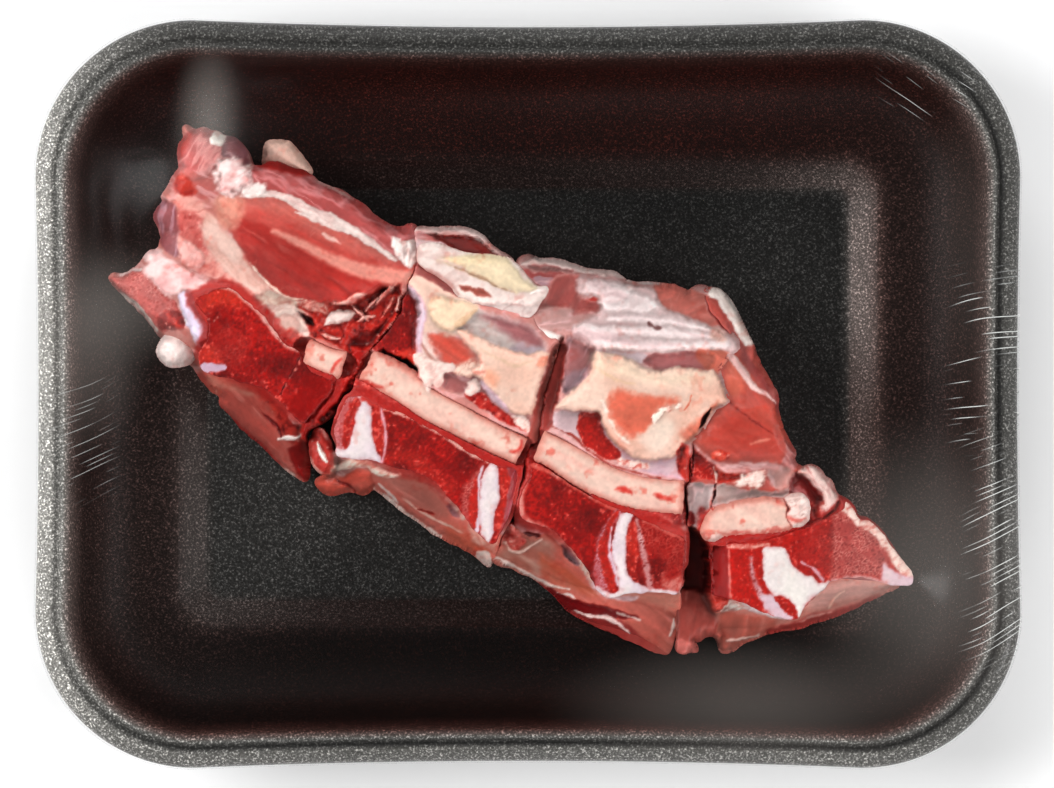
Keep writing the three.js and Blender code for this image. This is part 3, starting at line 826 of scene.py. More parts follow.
def film_heights(reliefs):
    """Stretched film: held at the lip, lifted by the meat, and relaxed like a soap skin in between."""
    xs = np.arange(-HALF_LENGTH, HALF_LENGTH + 0.1, FILM_CELL)
    ys = np.arange(-HALF_WIDTH, HALF_WIDTH + 0.1, FILM_CELL)
    gx, gy = np.meshgrid(xs, ys)
    held = inset_at(gx, gy) < 7
    least = np.full(gx.shape, -FAR)
    for r in reliefs:
        inside = r.depth > 0
        u, v = (r.x[inside] + HALF_LENGTH) / FILM_CELL, (r.y[inside] + HALF_WIDTH) / FILM_CELL
        for up in (np.floor, np.ceil):
            for across in (np.floor, np.ceil):
                np.maximum.at(least, (up(v).astype(int), across(u).astype(int)), r.z[inside] + OVER_FOOD)
    z = np.where(held, FILM_RIM, np.maximum(least, FILM_RIM))
    for _ in range(900):
        mean = z.copy()
        mean[1:-1, 1:-1] = (z[2:, 1:-1] + z[:-2, 1:-1] + z[1:-1, 2:] + z[1:-1, :-2]) / 4
        z = np.where(held, FILM_RIM, np.clip(np.maximum(mean, least), FILM_RIM - 3, FILM_TOP))
    return xs, ys, z


def film_sample(field, x, y):
    """Height of the stretched film at given points."""
    xs, ys, z = field
    u = np.clip((x - xs[0]) / FILM_CELL, 0, len(xs) - 1.001)
    v = np.clip((y - ys[0]) / FILM_CELL, 0, len(ys) - 1.001)
    i, j = u.astype(int), v.astype(int)
    fu, fv = u - i, v - j
    # Halfway between straight and eased, so that the cells' edges don't show.
    fu, fv = (f * f * (3 - 2 * f) * 0.5 + f * 0.5 for f in (fu, fv))
    low = mix(z[j, i], z[j, i + 1], fu)
    high = mix(z[j + 1, i], z[j + 1, i + 1], fu)
    return mix(low, high, fv)


def film_piece(field, material):
    edge = tray_ring(8, FILM_POINTS)
    rings = []
    for share in np.linspace(0.02, 1, 70):
        x, y = (edge * share).T
        inset = inset_at(x, y)
        ripple = 0.12 * fbm(x, y, 9, 207) * step(8, 14, inset)
        rings.append(np.column_stack([x, y, np.minimum(film_sample(field, x, y) + ripple, FILM_TOP)]))
    skirt = [(5.5, LIP_TOP + 0.3), (3.2, LIP_TOP + 0.15), (1.6, LIP_TOP - 0.35), (0.4, LIP_TOP - 1.3),
             (-0.25, LIP_TOP - 2.6), (-0.3, LIP_TOP - 4.2), (2.4, LIP_TOP - 8.6), (5.4, LIP_TOP - 14),
             (8.6, LIP_TOP - 19.4), (10.2, 6.2), (12.5, 4.4), (18, 3.4), (28, 2.6), (36.5, 0.35)]
    skirt += [(inset, FILM_BASE) for inset in (44, 51.5, 65, 78)]
    for inset, height in skirt:
        ring = tray_ring(inset, FILM_POINTS)
        rings.append(np.column_stack([ring, np.full(len(ring), height)]))
    middle = float(film_sample(field, np.zeros(1), np.zeros(1))[0])
    verts = np.concatenate(rings + [np.array([[0, 0, middle], [0, 0, FILM_BASE]])])
    return skin("clear_film", rings, material, (middle, FILM_BASE), veil(verts), creases(verts))


def creases(verts):
    """How strongly the film is creased along its right side."""
    x, y, z = verts.T
    right = step(94, 100, x) * step(-16, -6, y) * step(32, 20, y)
    return (z > SIDES_TOP) * right


# Middle, half extents and strength of each soft reflection painted into the slack film.
HAZE = ((-101, 12, 18, 30, 0.06), (-90, 20, 22, 16, 0.05), (-72, 62, 9, 20, 0.12), (92, -40, 34, 40, 0.085),
        (50, -70, 50, 18, 0.06), (100, 30, 12, 50, 0.02), (-106, -40, 6, 40, 0.02))


def veil(verts):
    """Red: creases round the corner; green: soft reflections painted into the slack film; blue: steeper
    creases.

    The steeper creases are on the left and low on the right.
    """
    x, y, z = verts.T
    up = z > SIDES_TOP
    corner = up * step(14, 5, np.hypot(x - 92, y - 72)) * 0.7
    haze = 0 * x
    for cx, cy, wide, high, amount in HAZE:
        haze = haze + amount * step(1, 0, np.hypot((x - cx) / wide, (y - cy) / high))
    steep = up * np.maximum(0.35 * step(-92, -97, x) * step(-26, -18, y) * step(8, -2, y),
                            step(97, 103, x) * step(-66, -52, y) * step(-6, -16, y))
    return display(np.stack([corner, up * haze, steep], 1))


# ---- Materials -----------------------------------------------------------------------------------


class Nodes:
    """A small helper that builds a material's nodes."""

    def __init__(self, name):
        self.material = bpy.data.materials.new(name)
        self.material.use_nodes = True
        self.tree = self.material.node_tree
        self.tree.nodes.clear()

    def add(self, kind, inputs=None, **settings):
        node = self.tree.nodes.new("ShaderNode" + kind)
        for key, value in settings.items():
            setattr(node, key, value)
        for key, value in (inputs or {}).items():
            if isinstance(value, bpy.types.NodeSocket):
                self.tree.links.new(value, node.inputs[key])
            else:
                node.inputs[key].default_value = value
        return node

    def noise(self, scale, detail=3.0, rough=0.5, where=None):
        where = where or self.add("TexCoord").outputs["Object"]
        inputs = {"Vector": where, "Scale": scale, "Detail": detail, "Roughness": rough}
        return self.add("TexNoise", inputs).outputs["Fac"]

    def ramp(self, fac, stops):
        node = self.add("ValToRGB", {"Fac": fac})
        while len(node.color_ramp.elements) < len(stops):
            node.color_ramp.elements.new(0.5)
        for element, (place, colour) in zip(node.color_ramp.elements, stops):
            element.position = place
            element.color = (*colour, 1)
        return node.outputs["Color"]

    def math(self, operation, *values, clamp=False):
        return self.add("Math", dict(enumerate(values)), operation=operation, use_clamp=clamp).outputs[0]

    def blend(self, fac, a, b, kind="MIX"):
        node = self.add("Mix", {"Factor": fac}, data_type="RGBA", blend_type=kind)
        for key, value in ((6, a), (7, b)):
            if isinstance(value, bpy.types.NodeSocket):
                self.tree.links.new(value, node.inputs[key])
            else:
                node.inputs[key].default_value = (*value, 1)
        return node.outputs[2]

    def bump(self, height, strength, distance, normal=None):
        inputs = {"Height": height, "Strength": strength, "Distance": distance}
        if normal:
            inputs["Normal"] = normal
        return self.add("Bump", inputs).outputs["Normal"]

    def finish(self, shader):
        out = self.add("OutputMaterial")
        self.tree.links.new(shader, out.inputs["Surface"])
        return self.material


def grey(level):
    return (level,) * 3


def foam_material():
    n = Nodes("black_foam")
    where = n.add("TexCoord").outputs["Object"]
    fine = n.noise(2000, 2, 0.6, where)
    broad = n.noise(40, 3, 0.5, where)
    tint = n.add("Attribute", attribute_name="tint").outputs["Color"]
    # Bead speckle; the lightest specks are scaled far above the foam's own colour as painted glints.
    speck = n.ramp(fine, [(0.33, (0.08, 0.08, 0.076)), (0.52, grey(0.165)), (0.61, grey(0.37)),
                          (0.71, grey(1.0))])
    bright = n.add("VectorMath", {0: speck, "Scale": 4.2}, operation="SCALE").outputs[0]
    cloud = n.ramp(broad, [(0.3, grey(0.75)), (0.7, grey(1.0))])
    colour = n.blend(1.0, n.blend(1.0, tint, bright, "MULTIPLY"), cloud, "MULTIPLY")
    normal = n.bump(fine, 0.5, 0.00007)
    shader = n.add("BsdfPrincipled",
                   {"Base Color": colour, "Roughness": 0.5, "Normal": normal, "Specular IOR Level": 0.35})
    return n.finish(shader.outputs[0])


def flesh_material(name, rough=0.36, coat=0.3, grain_bump=0.00012, fibre_bump=0.00004):
    n = Nodes(name)
    where = n.add("TexCoord").outputs["Object"]
    tint = n.add("Attribute", attribute_name="tint").outputs["Color"]
    grain = n.add("Attribute", attribute_name="grain").outputs["Fac"]
    fine = n.noise(1500, 4, 0.6, where)
    pore = n.add("TexVoronoi", {"Vector": where, "Scale": 900.0}, feature="F1").outputs["Distance"]
    shade = n.ramp(fine, [(0.3, (0.86, 0.84, 0.84)), (0.7, grey(1.0))])
    colour = n.blend(0.4, tint, shade, "MULTIPLY")
    speck = n.ramp(pore, [(0.1, grey(1.0)), (0.5, (0.84, 0.78, 0.78))])
    colour = n.blend(grain, colour, n.blend(1.0, colour, speck, "MULTIPLY"))
    roughness = n.math("ADD", n.math("MULTIPLY", grain, 0.16),
                       n.math("MULTIPLY_ADD", fine, 0.25, rough - 0.12))
    normal = n.bump(n.math("MULTIPLY", pore, grain), 0.8, grain_bump)
    normal = n.bump(fine, 0.5, fibre_bump, normal)
    shader = n.add("BsdfPrincipled", {"Base Color": colour, "Roughness": roughness, "Normal": normal,
                                      "Coat Weight": coat, "Coat Roughness": 0.16,
                                      "Specular IOR Level": 0.45})
    return n.finish(shader.outputs[0])


def creased(n, where, turn, pitch):
    """Straight thin streaks along one direction: one to each strip of the pitch, broken off at random."""
    radians = math.radians(turn)
    rotated = n.add("Mapping", {"Vector": where, "Rotation": (0, 0, radians), "Scale": (1000,) * 3})
    flat = n.add("SeparateXYZ", {0: rotated.outputs[0]})
    along, across = flat.outputs[0], flat.outputs[1]
    waver = n.math("MULTIPLY", n.noise(28, 1, 0.5, where), 9.0)
    strip = n.math("DIVIDE", n.math("ADD", across, waver), pitch)
    number = n.math("FLOOR", strip)
    off_middle = n.math("ABSOLUTE", n.math("SUBTRACT", n.math("FRACT", strip), 0.5))
    line = n.ramp(off_middle, [(0.0, grey(1)), (0.13, grey(0))])
    cell = {0: n.math("MULTIPLY", along, 0.07), 1: n.math("MULTIPLY", number, 1.37)}
    place = n.add("CombineXYZ", cell).outputs[0]
    dash = n.ramp(n.noise(1, 1, 0.5, place), [(0.5, grey(0)), (0.58, grey(1))])
    bundle = n.ramp(n.noise(60, 1, 0.5, where), [(0.42, grey(0)), (0.52, grey(1))])
    return n.math("MULTIPLY", n.math("MULTIPLY", line, dash), bundle)


def film_material():
    n = Nodes("clear_film")
    where = n.add("TexCoord").outputs["Object"]
    normal = n.bump(n.noise(45, 3, 0.5, where), 0.2, 0.001)
    clear = n.add("BsdfTransparent", {"Color": (0.985, 0.985, 0.985, 1)})
    gloss = n.add("BsdfGlossy", {"Color": (1, 1, 1, 1), "Roughness": 0.16, "Normal": normal})
    # Grazing gloss that is the same from inside and outside, so light still reaches the meat.
    graze = n.math("POWER", n.add("LayerWeight", {"Blend": 0.5, "Normal": normal}).outputs["Facing"], 4.0)
    fac = n.math("MULTIPLY_ADD", graze, 0.55, 0.019, clamp=True)
    shiny = n.add("MixShader", {0: fac, 1: clear.outputs[0], 2: gloss.outputs[0]})
    # Stretch creases: fine lines painted white where the film is pulled over the lip, as painted highlights
    # for the light the creases catch.
    veils = n.add("SeparateColor", {"Color": n.add("Attribute", attribute_name="tint").outputs["Color"]})
    right = n.add("Attribute", attribute_name="grain").outputs["Fac"]
    amount = 0.0
    for turn, pitch, weight in ((-13, 1.2, right), (40, 1.0, veils.outputs[0]), (-27, 1.1, veils.outputs[2])):
        streaks = n.math("MULTIPLY", creased(n, where, turn, pitch), weight)
        amount = n.math("ADD", amount, streaks, clamp=True)
    white = n.add("BsdfPrincipled", {"Base Color": (0.8, 0.82, 0.8, 1), "Roughness": 0.3})
    streaked = n.add("MixShader", {0: amount, 1: shiny.outputs[0], 2: white.outputs[0]})
    # Painted reflections: a pale, rough layer mixed in where the film's green tint marks a soft reflection.
    painted_reflection = n.add("BsdfPrincipled", {"Base Color": (0.82, 0.74, 0.68, 1), "Roughness": 0.6})
    shader = n.add("MixShader", {0: veils.outputs[1], 1: streaked.outputs[0], 2: painted_reflection.outputs[0]})
    return n.finish(shader.outputs[0])


def floor_material():
    n = Nodes("pale_floor")
    where = n.add("TexCoord").outputs["Object"]
    colour = n.ramp(n.noise(3, 2, 0.5, where), [(0.3, (0.93, 0.93, 0.935)), (0.7, (0.96, 0.96, 0.96))])
    shader = n.add("BsdfPrincipled", {"Base Color": colour, "Roughness": 0.8, "Specular IOR Level": 0.2})
    return n.finish(shader.outputs[0])


# ---- The four pieces of neck ---------------------------------------------------------------------

WHITE_FAT = fat()
TENDON = fat(rgb(240, 218, 210), rgb(216, 176, 170), 1.4, 0.15, -32)
MARROW = marrow()
CLOT = raw(rgb(112, 12, 10), rgb(58, 3, 3), rgb(160, 30, 24), 0.3)
# A slit, painted near black for the shade inside it.
SHADED_SLIT = plain(rgb(60, 6, 6))
SAW_CUT, CORD_TOP, CORD_BED = 33.0, 34.5, 28.6  # heights


def groove(path, floor, half):
    """Lowers the canal where the spinal cord lies."""

    def shape(r):
        curve = spline(pts(path), False, 4)
        d, _ = line_distance(r.x, r.y, np.column_stack([curve, np.full(len(curve), 2 * half)]))
        r.z = np.where(d > 0, np.minimum(r.z, floor + (half - d) * 0.6), r.z)
        # Raw bone shows between the cord and the sawn face.
        red = step(-3.6, -2.4, d) * step(1, -0.5, canal_side(r.x, r.y))
        red = red * (0.75 + 0.25 * fbm(r.x, r.y, 1.2, 151))
        r.colour = mix(r.colour, MARROW(r.x, r.y, d)[0], 0.9 * red[..., None])
        r.detail += 0.3 * red * fbm(r.x, r.y, 1.1, 152)
        dark = step(-0.4, 0.8, d)[..., None]
        r.colour = mix(r.colour, rgb(150, 42, 36), 0.6 * dark)

    return shape


SEAM_12 = ("-24.5,38 -24.5,31 -25,28 -26.5,25.5 -28,23 -28.7,20 -31.2,14.8 -34.5,11 -37,8.5 -38.3,3"
           " -40,0 -43,-6 -44,-12")
SEAM_23 = "-1.5,29 1,26 3.5,23 2,17.5 5,13.5 7.5,11.5 6.5,5 5,-1 3,-8 0,-13 -0.8,-17 -2,-22 -4,-30 -6,-37"
SEAM_34 = "41,23.5 43,19 47,13 48,10.6 45,7 43.5,4 44.6,0 44.8,-2 41,-5 36,-11 36,-20 36,-27 38,-40 38,-50"
JOIN_12 = "-24.5,34 -24.5,31 -25,28 -26.5,25.5 -28,22.5"
JOIN_23 = "-1.5,29 1,26 3.5,23 2,17.5 3.5,15"
JOIN_34 = "41,23.5 43,19 47,13 48,10.6 45,7 43.5,4 44.6,0 44.8,-2 41.6,-4 39,-8 37,-10.6"
OPEN_12 = "-31,14.5 -35,10.5 -38.4,5 -41,-0.5 -43.5,-4 -45,-8"
OPEN_23 = "7,12 6.2,7 4.6,1 3.4,-5 2.2,-9.6"
LOW_23 = "0.4,-12.4 -0.6,-16 -2,-22 -4,-29 -6,-36"
OPEN_34 = "35.2,-46 35,-52 33.8,-58"

OUTLINE_1 = """-95.6,26.3 -95,27.3 -94.3,27.9 -93.6,27.4 -92,27.2 -89.8,28.3 -87.8,29.8 -87.4,30.8
 -86,32.4 -84,33 -83.5,35 -83.4,37 -84.5,39.2 -84.8,40.6 -84,42.2 -82.6,43.5 -83,44.6 -81.8,46.2
 -80.5,48.3 -79,50.2 -78.4,51 -79,53.4 -79.1,56 -78,58.2 -78.5,59.5 -78.5,60.8 -77.3,61.1 -76.3,60.2
 -75,60 -73.5,60.4 -71.8,59.6 -70.2,59.5 -68.6,58.4 -67,58.2 -65,56.9 -63.4,54.6 -62.9,52.4 -61.5,51.4
 -60,51.6 -58.5,52.6 -56,52.6 -53.5,51.5 -51,50.8 -49,49.4 -47,48 -45,47.1 -42.5,46.2 -40,44.8 -38,43.6
 -36.2,42 -35,40.4 -33,39 -30.5,38 -28,37.8 -25.6,37.6 -25.3,33 -24.9,29.4 -25.8,27.5 -27.2,24.6 -28.4,22
 -29.2,19 -31.4,16 -33.8,13.5 -35.8,11 -37.8,8.5 -38.9,6 -39.5,4 -40.5,1.5 -42.8,-2 -45.3,-4.5 -48.2,-7
 -50.2,-8.8 -50.6,-14 -50.8,-18 -51.2,-20 -52.4,-20 -54.5,-18.8 -57.5,-16.4 -60.5,-13 -63,-10.8 -66,-8.3
 -69,-5 -71.2,-2.6 -71.2,-0.4 -72.8,0.4 -73.8,2 -75.2,3.8 -76.6,6 -79,8.5 -82,11.5 -84.2,13 -87,16.6
 -90.5,20.2 -92.6,22.2 -94.2,23.8"""
FACE_1 = """-75,21.4 -73.5,22.4 -72,23.2 -70.5,23.9 -68.5,24.3 -66.5,23.7 -64.8,22.4 -63,20.5 -61.5,19.3
 -59.5,17.4 -57.6,15.1 -56,12.9 -54.4,11.1 -52.2,9.9 -50.6,8.4 -49.4,6 -47.5,4.8 -45.2,3.9 -43.6,2.8
 -44.6,0.4 -46.4,-2 -48.6,-4.6 -50.6,-6.6 -53,-4.8 -56,-1.6 -58.4,0.3 -61,1.5 -64,2.4 -67.5,3.4 -70.4,4.2
 -73.2,5.4 -74.1,7.4 -73.8,9.6 -72.6,11.5 -71.8,14 -72.2,16.6 -73.4,19"""
CORD_1 = "-50.2,10.2 -46,8 -41.4,6.6"


def piece_1():
    r = Relief(OUTLINE_1, 1, look=membrane(rgb(196, 122, 112), -30))
    r.z -= 0.3 * np.clip(-78 - r.x, 0, 30)
    r.join(OPEN_12, 0.6)
    # Thick end: the cut tip of a transverse process, with pink tissue above it.
    r.area("-95,25.4 -92,23 -88,19.2 -84,13.4 -82.5,11 -88,13 -92,18 -96,23", muscle(rgb(152, 92, 88), -45),
           z=24)
    r.area("-95.6,26.2 -92,27 -89,28 -86,27.2 -84,24.7 -81.5,22.2 -79.3,20.4 -77.8,17 -78,14.6 -80.5,14.4"
           " -82.6,13.6 -84.6,15.4 -87.5,18.8 -90.5,21.6 -93.4,23.5",
           spongy(rgb(190, 92, 86), rgb(228, 164, 154), rgb(160, 50, 44)), soft=0.25, rise=0.5)
    r.area("-82.6,18.6 -79,18.6 -77.3,16.6 -78,14.8 -81.5,14.2 -84.2,15.4", raw(rgb(132, 30, 28), relief=0.3))
    r.line("-94,23.4,0.5 -90,21,1.0 -87,18,0.9 -84.6,14.6,0.7", plain(rgb(238, 214, 204)), rise=0.3)
    r.line("-92.5,26.9,0.5 -90,27.8,0.7 -87.5,28.2,0.8", plain(rgb(226, 200, 196)), rise=0.2)
    r.area("-87.4,30.8 -86,32.3 -83.5,32.8 -81.5,31 -79,29.4 -76,27.8 -72,25.6 -69,25.2 -67.2,24.4"
           " -70,23.2 -72.6,22.8 -75,22 -77,23.3 -79,22.2 -82,22.6 -84.5,25.2 -87,28 -85.8,29.5",
           fat(rgb(244, 206, 202), rgb(228, 162, 160), 4), soft=0.6, rise=0.6)
    r.area("-80,43.4 -82.5,43.4 -84.8,41 -84.7,39.3 -83.4,37.5 -83.6,34.5 -81.5,31.7 -79.2,31.2 -77.6,34"
           " -77.6,38 -78.4,41", membrane(rgb(146, 78, 82), 80, rgb(186, 150, 164)), soft=0.4)
    r.area("-79,45 -75,44.8 -72,41.5 -70,38.4 -67,35.2 -64,31.6 -62,28.2 -59.6,25 -60.6,22 -64,24.2"
           " -68,25.2 -72,26.6 -77,29.6 -79,33 -78.4,38", fat(rgb(232, 168, 156), rgb(204, 104, 96), 2.6),
           soft=0.6)
    r.area("-78.6,40.6 -75,40.8 -72,37.4 -69.6,33.6 -71.6,31.2 -75,33.4 -78.2,35.6",
           raw(rgb(206, 104, 98), rgb(184, 62, 58), rgb(234, 168, 158), 0.3, 1.1), soft=0.7, amount=0.8)
    r.area("-79,33.5 -76.5,34.4 -74,32.4 -72.4,30 -74.5,28.4 -77.5,29.4",
           fat(rgb(232, 178, 170), rgb(214, 140, 134)), rise=0.5)
    r.area("-71.6,40.5 -69,38 -66.4,35 -63.4,30.4 -60.8,26.6 -57.6,23.6 -61.6,22.8 -65.6,25.6 -69.6,29.6"
           " -72.6,33.4 -73.6,38", fat(rgb(240, 206, 192), rgb(222, 158, 142), 2.2, 0.25, -50), soft=0.8,
           amount=0.85)
    # The round, veiled end of a small muscle and the white tip on it.
    r.area("-79,50.6 -79.2,55 -78,58.2 -75.5,60 -73,60.4 -71,59.4 -69,56 -68.6,53 -70.5,50 -73,48 -76.4,48",
           membrane(rgb(184, 92, 90), 60, rgb(230, 176, 170)), dome=1.6)
    r.area("-78.8,56.5 -77,58.8 -75.6,59.4 -76,57 -77.4,53.4 -78.6,53", muscle(rgb(170, 52, 46), 70),
           soft=0.6, amount=0.7)
    r.area("-68.6,58.3 -66.8,58.3 -64.8,57 -63.2,54.7 -62.6,52.2 -64.5,51.6 -67,53.2 -68.9,54",
           membrane(rgb(126, 70, 76), 10, rgb(164, 120, 126)), soft=0.25)
    r.z[:] = np.where(r.y > 50, r.z - 0.28 * (r.y - 50), r.z)
    r.area("-71.7,57.6 -70.9,59.3 -69.4,59.5 -68.4,58.3 -68.7,56.5 -70,55.8 -71.3,56.2",
           plain(rgb(248, 236, 226)), rise=1.2)
    r.area("-78.6,50.4 -75.6,50 -71,49.4 -69,47 -70,44 -74,43.6 -77.6,44.8 -81,46.6",
           membrane(rgb(192, 104, 98), -20), soft=0.5)
    r.area("-79,48.6 -77,49 -75,47.4 -74.6,44.6 -76.8,44.2 -79.2,46",
           raw(rgb(186, 58, 44), rgb(160, 40, 32), rgb(208, 88, 70), 0.3), soft=0.5)
    # Upper muscle under its purple membrane.
    r.area("-63,51.4 -60,51.6 -58.5,52.8 -56,52.8 -53,51.4 -49.5,50 -47,48.2 -44,47 -40,45 -37.5,43.2"
           " -35,40.6 -31.5,38.6 -26,38 -25,34 -29,31 -36,34.4 -42,38 -47,40.6 -52,43 -58,45.4 -61.5,47.6",
           membrane(rgb(172, 82, 80), -33, rgb(212, 152, 154), 0.5), soft=0.35, dome=1.2, width=5)
    r.area("-61,51.4 -58.5,52.8 -56,52.8 -52,51.2 -48.6,49.6 -52,49.2 -57,50.6",
           muscle(rgb(146, 32, 28), -20), soft=0.5)
    r.line("-49,49,0.5 -44,46.2,0.7 -39,43.8,0.6", plain(rgb(206, 158, 150)), fade=0.2)
    # Back muscle.
    r.area("-69,44.2 -64,44.8 -60,45.2 -55.5,44 -51,41.4 -46,39 -42,37 -38,34.8 -33,32 -28,29.8 -24.4,29.2"
           " -26.4,25.6 -29,24.8 -33,24.4 -38,22.6 -41,20.8 -46,20.6 -51,21 -54.5,21.8 -57.5,23.6 -60,26.5"
           " -62.5,29.5 -65,33.5 -67,37.5 -69,41", muscle(rgb(180, 74, 66), -33, 0.12), soft=0.4, dome=1.4,
           width=7)
    r.area("-64,44.4 -58,45 -52,42.2 -45,38.6 -38,34.8 -32,31.8 -30,29.4 -38,31.2 -45,34.4 -52,38 -58,40.6"
           " -65,41.6", muscle(rgb(200, 110, 98), -30), soft=1.4, amount=0.75)
    r.area("-65,38 -60,38.4 -55,36 -50,33 -44,30 -38,27 -31,24 -38,22.4 -43,20.6 -50,21 -55,22.2"
           " -59.8,26.4 -63.8,32", muscle(rgb(166, 48, 42), -33, 0.14), soft=1.0, amount=0.9)
    r.area("-70,44 -64.5,44.6 -63.4,41.4 -66,37 -69.4,38.6", fat(rgb(222, 152, 132), rgb(202, 110, 94), 3),
           soft=1.0)
    r.line("-57,36.4,0.8 -52,34.2,1.8 -47,31.8,2.2 -42,29.4,2.8 -37,27.6,3.4 -31,26.6,3.6 -26,26.4,2.6",
           muscle(rgb(224, 154, 138), -25, 0.06), soft=0.7, amount=0.9)
    r.line("-46,36,0.3 -43.6,34.6,0.9 -42,33.6,0.4", plain(rgb(232, 180, 168)))
    r.line("-62.4,29.4,0.2 -60,26.2,0.5 -57,23.6,0.6 -54.4,21.8,0.5 -50,21.2,0.4",
           plain(rgb(238, 208, 190)), rise=0.2)
    r.line("-63,44.6,0.9 -57.5,44.9,1.5 -53,43.5,1.9 -49,41,2.3 -45,39.4,2.6 -41,37.5,2.0 -38,35.8,2.0"
           " -34,33,1.5 -29.6,30.2,0.9", TENDON, rise=0.5)
    r.line("-52,40.8,0.3 -48,39.2,1.2 -44,37.6,1.2 -40,36,0.4", TENDON, rise=0.2)
    r.area("-69.8,52.4 -68,53.3 -65.4,53.2 -63.6,52.1 -62.4,50.2 -61.6,48.4 -62,46.4 -64.3,45.2 -66,44.6"
           " -68.6,45 -69.8,47 -70.2,50", fat(rgb(240, 216, 212), rgb(214, 150, 146), 2.2), soft=0.9,
           rise=1.0, edge=1.8, fray=1.5)
    r.area("-64.4,45 -61.8,46.8 -59.6,47.1 -58.6,45.8 -60.5,44.6", WHITE_FAT, soft=0.6, rise=0.5, fray=0.9)
    r.area("-30.6,35.4 -27.6,34.3 -25.4,34.6 -24.6,33 -24.8,30.6 -26.2,28.4 -28,29.4 -29.8,31.8",
           fat(rgb(242, 226, 220), rgb(214, 180, 174), 0.9, 0.4, 75), soft=0.25, rise=0.9)
    # Tissue between the back muscle and the bone.
    r.area("-62,22.4 -58,23.2 -54,21.6 -50,20.9 -46,20.7 -47,19.2 -51,18.8 -55,19.6 -58.5,19.4 -61,20.4",
           fat(rgb(208, 180, 164), rgb(190, 130, 116), 1.6), z=32.4)
    r.area("-60,19.6 -57,20 -54,20.3 -51.5,19 -50.2,15.5 -49.4,12 -50.6,10 -53.5,10.6 -56,13.2 -58.8,16.4",
           fat(rgb(228, 200, 188), rgb(206, 160, 150), 2), z=32.2)
    r.area("-57.4,16 -56.4,17.8 -54.2,18.3 -52.2,17.2 -51.4,15 -52.4,13.2 -54.4,12.8 -56.4,13.8",
           plain(rgb(208, 168, 156)), rise=0.9, edge=1.4)
    r.area("-59.4,19.2 -58.7,19.1 -58.6,18 -59.1,17.9", plain(rgb(160, 40, 34)), soft=0.15)
    r.area("-51.8,19.9 -47,20 -44,20.5 -40,20.6 -36,22.4 -32,24.2 -29,24.2 -27.8,21.5 -28.8,19 -33,13.6"
           " -36,10.2 -39.5,8.8 -42,9.8 -45,11.8 -49,13.2 -49.6,15 -48.6,17.4",
           raw(rgb(184, 40, 30), rgb(118, 12, 10), rgb(222, 104, 88), 0.6, 1.3), soft=0.4, z=31.4)
    r.area("-38.4,13.6 -35,14 -32,16.4 -33.6,13.4 -37,10.4 -40,11", CLOT, soft=0.8, z=30)
    r.area("-52,20.2 -48,18.7 -45,18 -45.6,20.4 -49,21", fat(rgb(232, 160, 146), rgb(196, 70, 58), 1),
           rise=0.5)
    for path in ("-44,20.4,0.3 -41,20.9,0.9 -38.6,22.2,1.0 -36.6,22.6,0.4", "-36.6,18.6,0.3 -34.6,21,0.9"
                 " -31,24.2,0.5", "-34.6,19.8,0.3 -32.6,22.4,0.9 -29.4,25,0.4",
                 "-39.8,20.2,0.3 -38,18.4,0.9 -36.2,16.6,0.4", "-28,24,0.3 -29,21.6,0.8 -29.8,19,0.4",
                 "-38.4,16.2,0.3 -36.6,17.2,0.9 -34.6,17.6,0.4", "-33,17.4,0.3 -31.6,19.4,0.7"
                 " -30.8,21.6,0.3", "-46.6,13.6,0.3 -44.6,12.8,0.8 -42.4,12.6,0.4"):
        r.line(path, fat(rgb(238, 186, 174), rgb(214, 120, 108), 0.8), rise=1.3)
    # The slit painted near black as shade.
    r.area("-52,18.7 -51,17.6 -50,15.8 -48.2,15.3 -48.6,16.8 -50.6,18", SHADED_SLIT, z=30)
    r.area("-46.2,15.4 -44.8,18 -42.5,19.2 -40,19 -38.8,18.2 -40,17 -42,15.9 -44,15.6",
           plain(rgb(226, 204, 196), 0.12, 0.3), soft=0.2, rise=1.6)
    # Flank below the bone.
    r.area("-76,4.6 -72.5,4.8 -69,3.8 -66,2.8 -60.5,1.6 -58,-1 -55,-4 -51.5,-8 -50,-12 -50.4,-19 -52.4,-21"
           " -58,-17 -63,-12 -67,-8.5 -72,-2.8 -74,1.5", muscle(rgb(176, 82, 72), -48, 0.12, 0.4), soft=0.4)
    r.area("-73,4.4 -66,2.8 -60,1.2 -57,-2 -61,-1.2 -67,0.6 -72,1.8", muscle(rgb(190, 120, 104), -25),
           soft=0.7, amount=0.8)
    r.area("-60,1.2 -56,-3 -51.4,-8 -50.2,-12 -53,-12 -56.5,-8 -57.5,-4 -61,-0.6",
           raw(rgb(176, 52, 42), relief=0.25), soft=0.8)
    r.line("-60.6,-4.2,0.4 -58.4,-6,0.9 -57,-7.8,1.0 -56.6,-9.8,0.5", plain(rgb(126, 16, 16)), rise=-0.8)
    r.area("-54.4,-4.4 -53,-4.7 -51.2,-6 -52,-7.2 -53.6,-6.4", WHITE_FAT, rise=0.7)
    r.line("-57.4,-10.4,0.4 -55.5,-10,0.9 -53,-10,0.7 -51.6,-9,0.3", WHITE_FAT, rise=0.6)
    r.area("-54.8,-12.5 -50.4,-11 -50.4,-18 -51.8,-20 -53.2,-18", plain(rgb(124, 20, 18), 0.2), soft=0.5)
    r.line("-71.6,-3,1.4 -66,-8.6,1.6 -61,-13,1.6 -57.5,-16.8,0.8", plain(rgb(150, 30, 28)), soft=0.5)
    r.line("-58.8,-15.2,0.3 -55.6,-18,0.6 -52.6,-20,0.6", plain(rgb(234, 202, 190)))
    r.area("-73,2 -71,1.6 -70,0.4 -72,0 -73.6,0.6", raw(rgb(196, 100, 84), relief=0.3), soft=0.2)
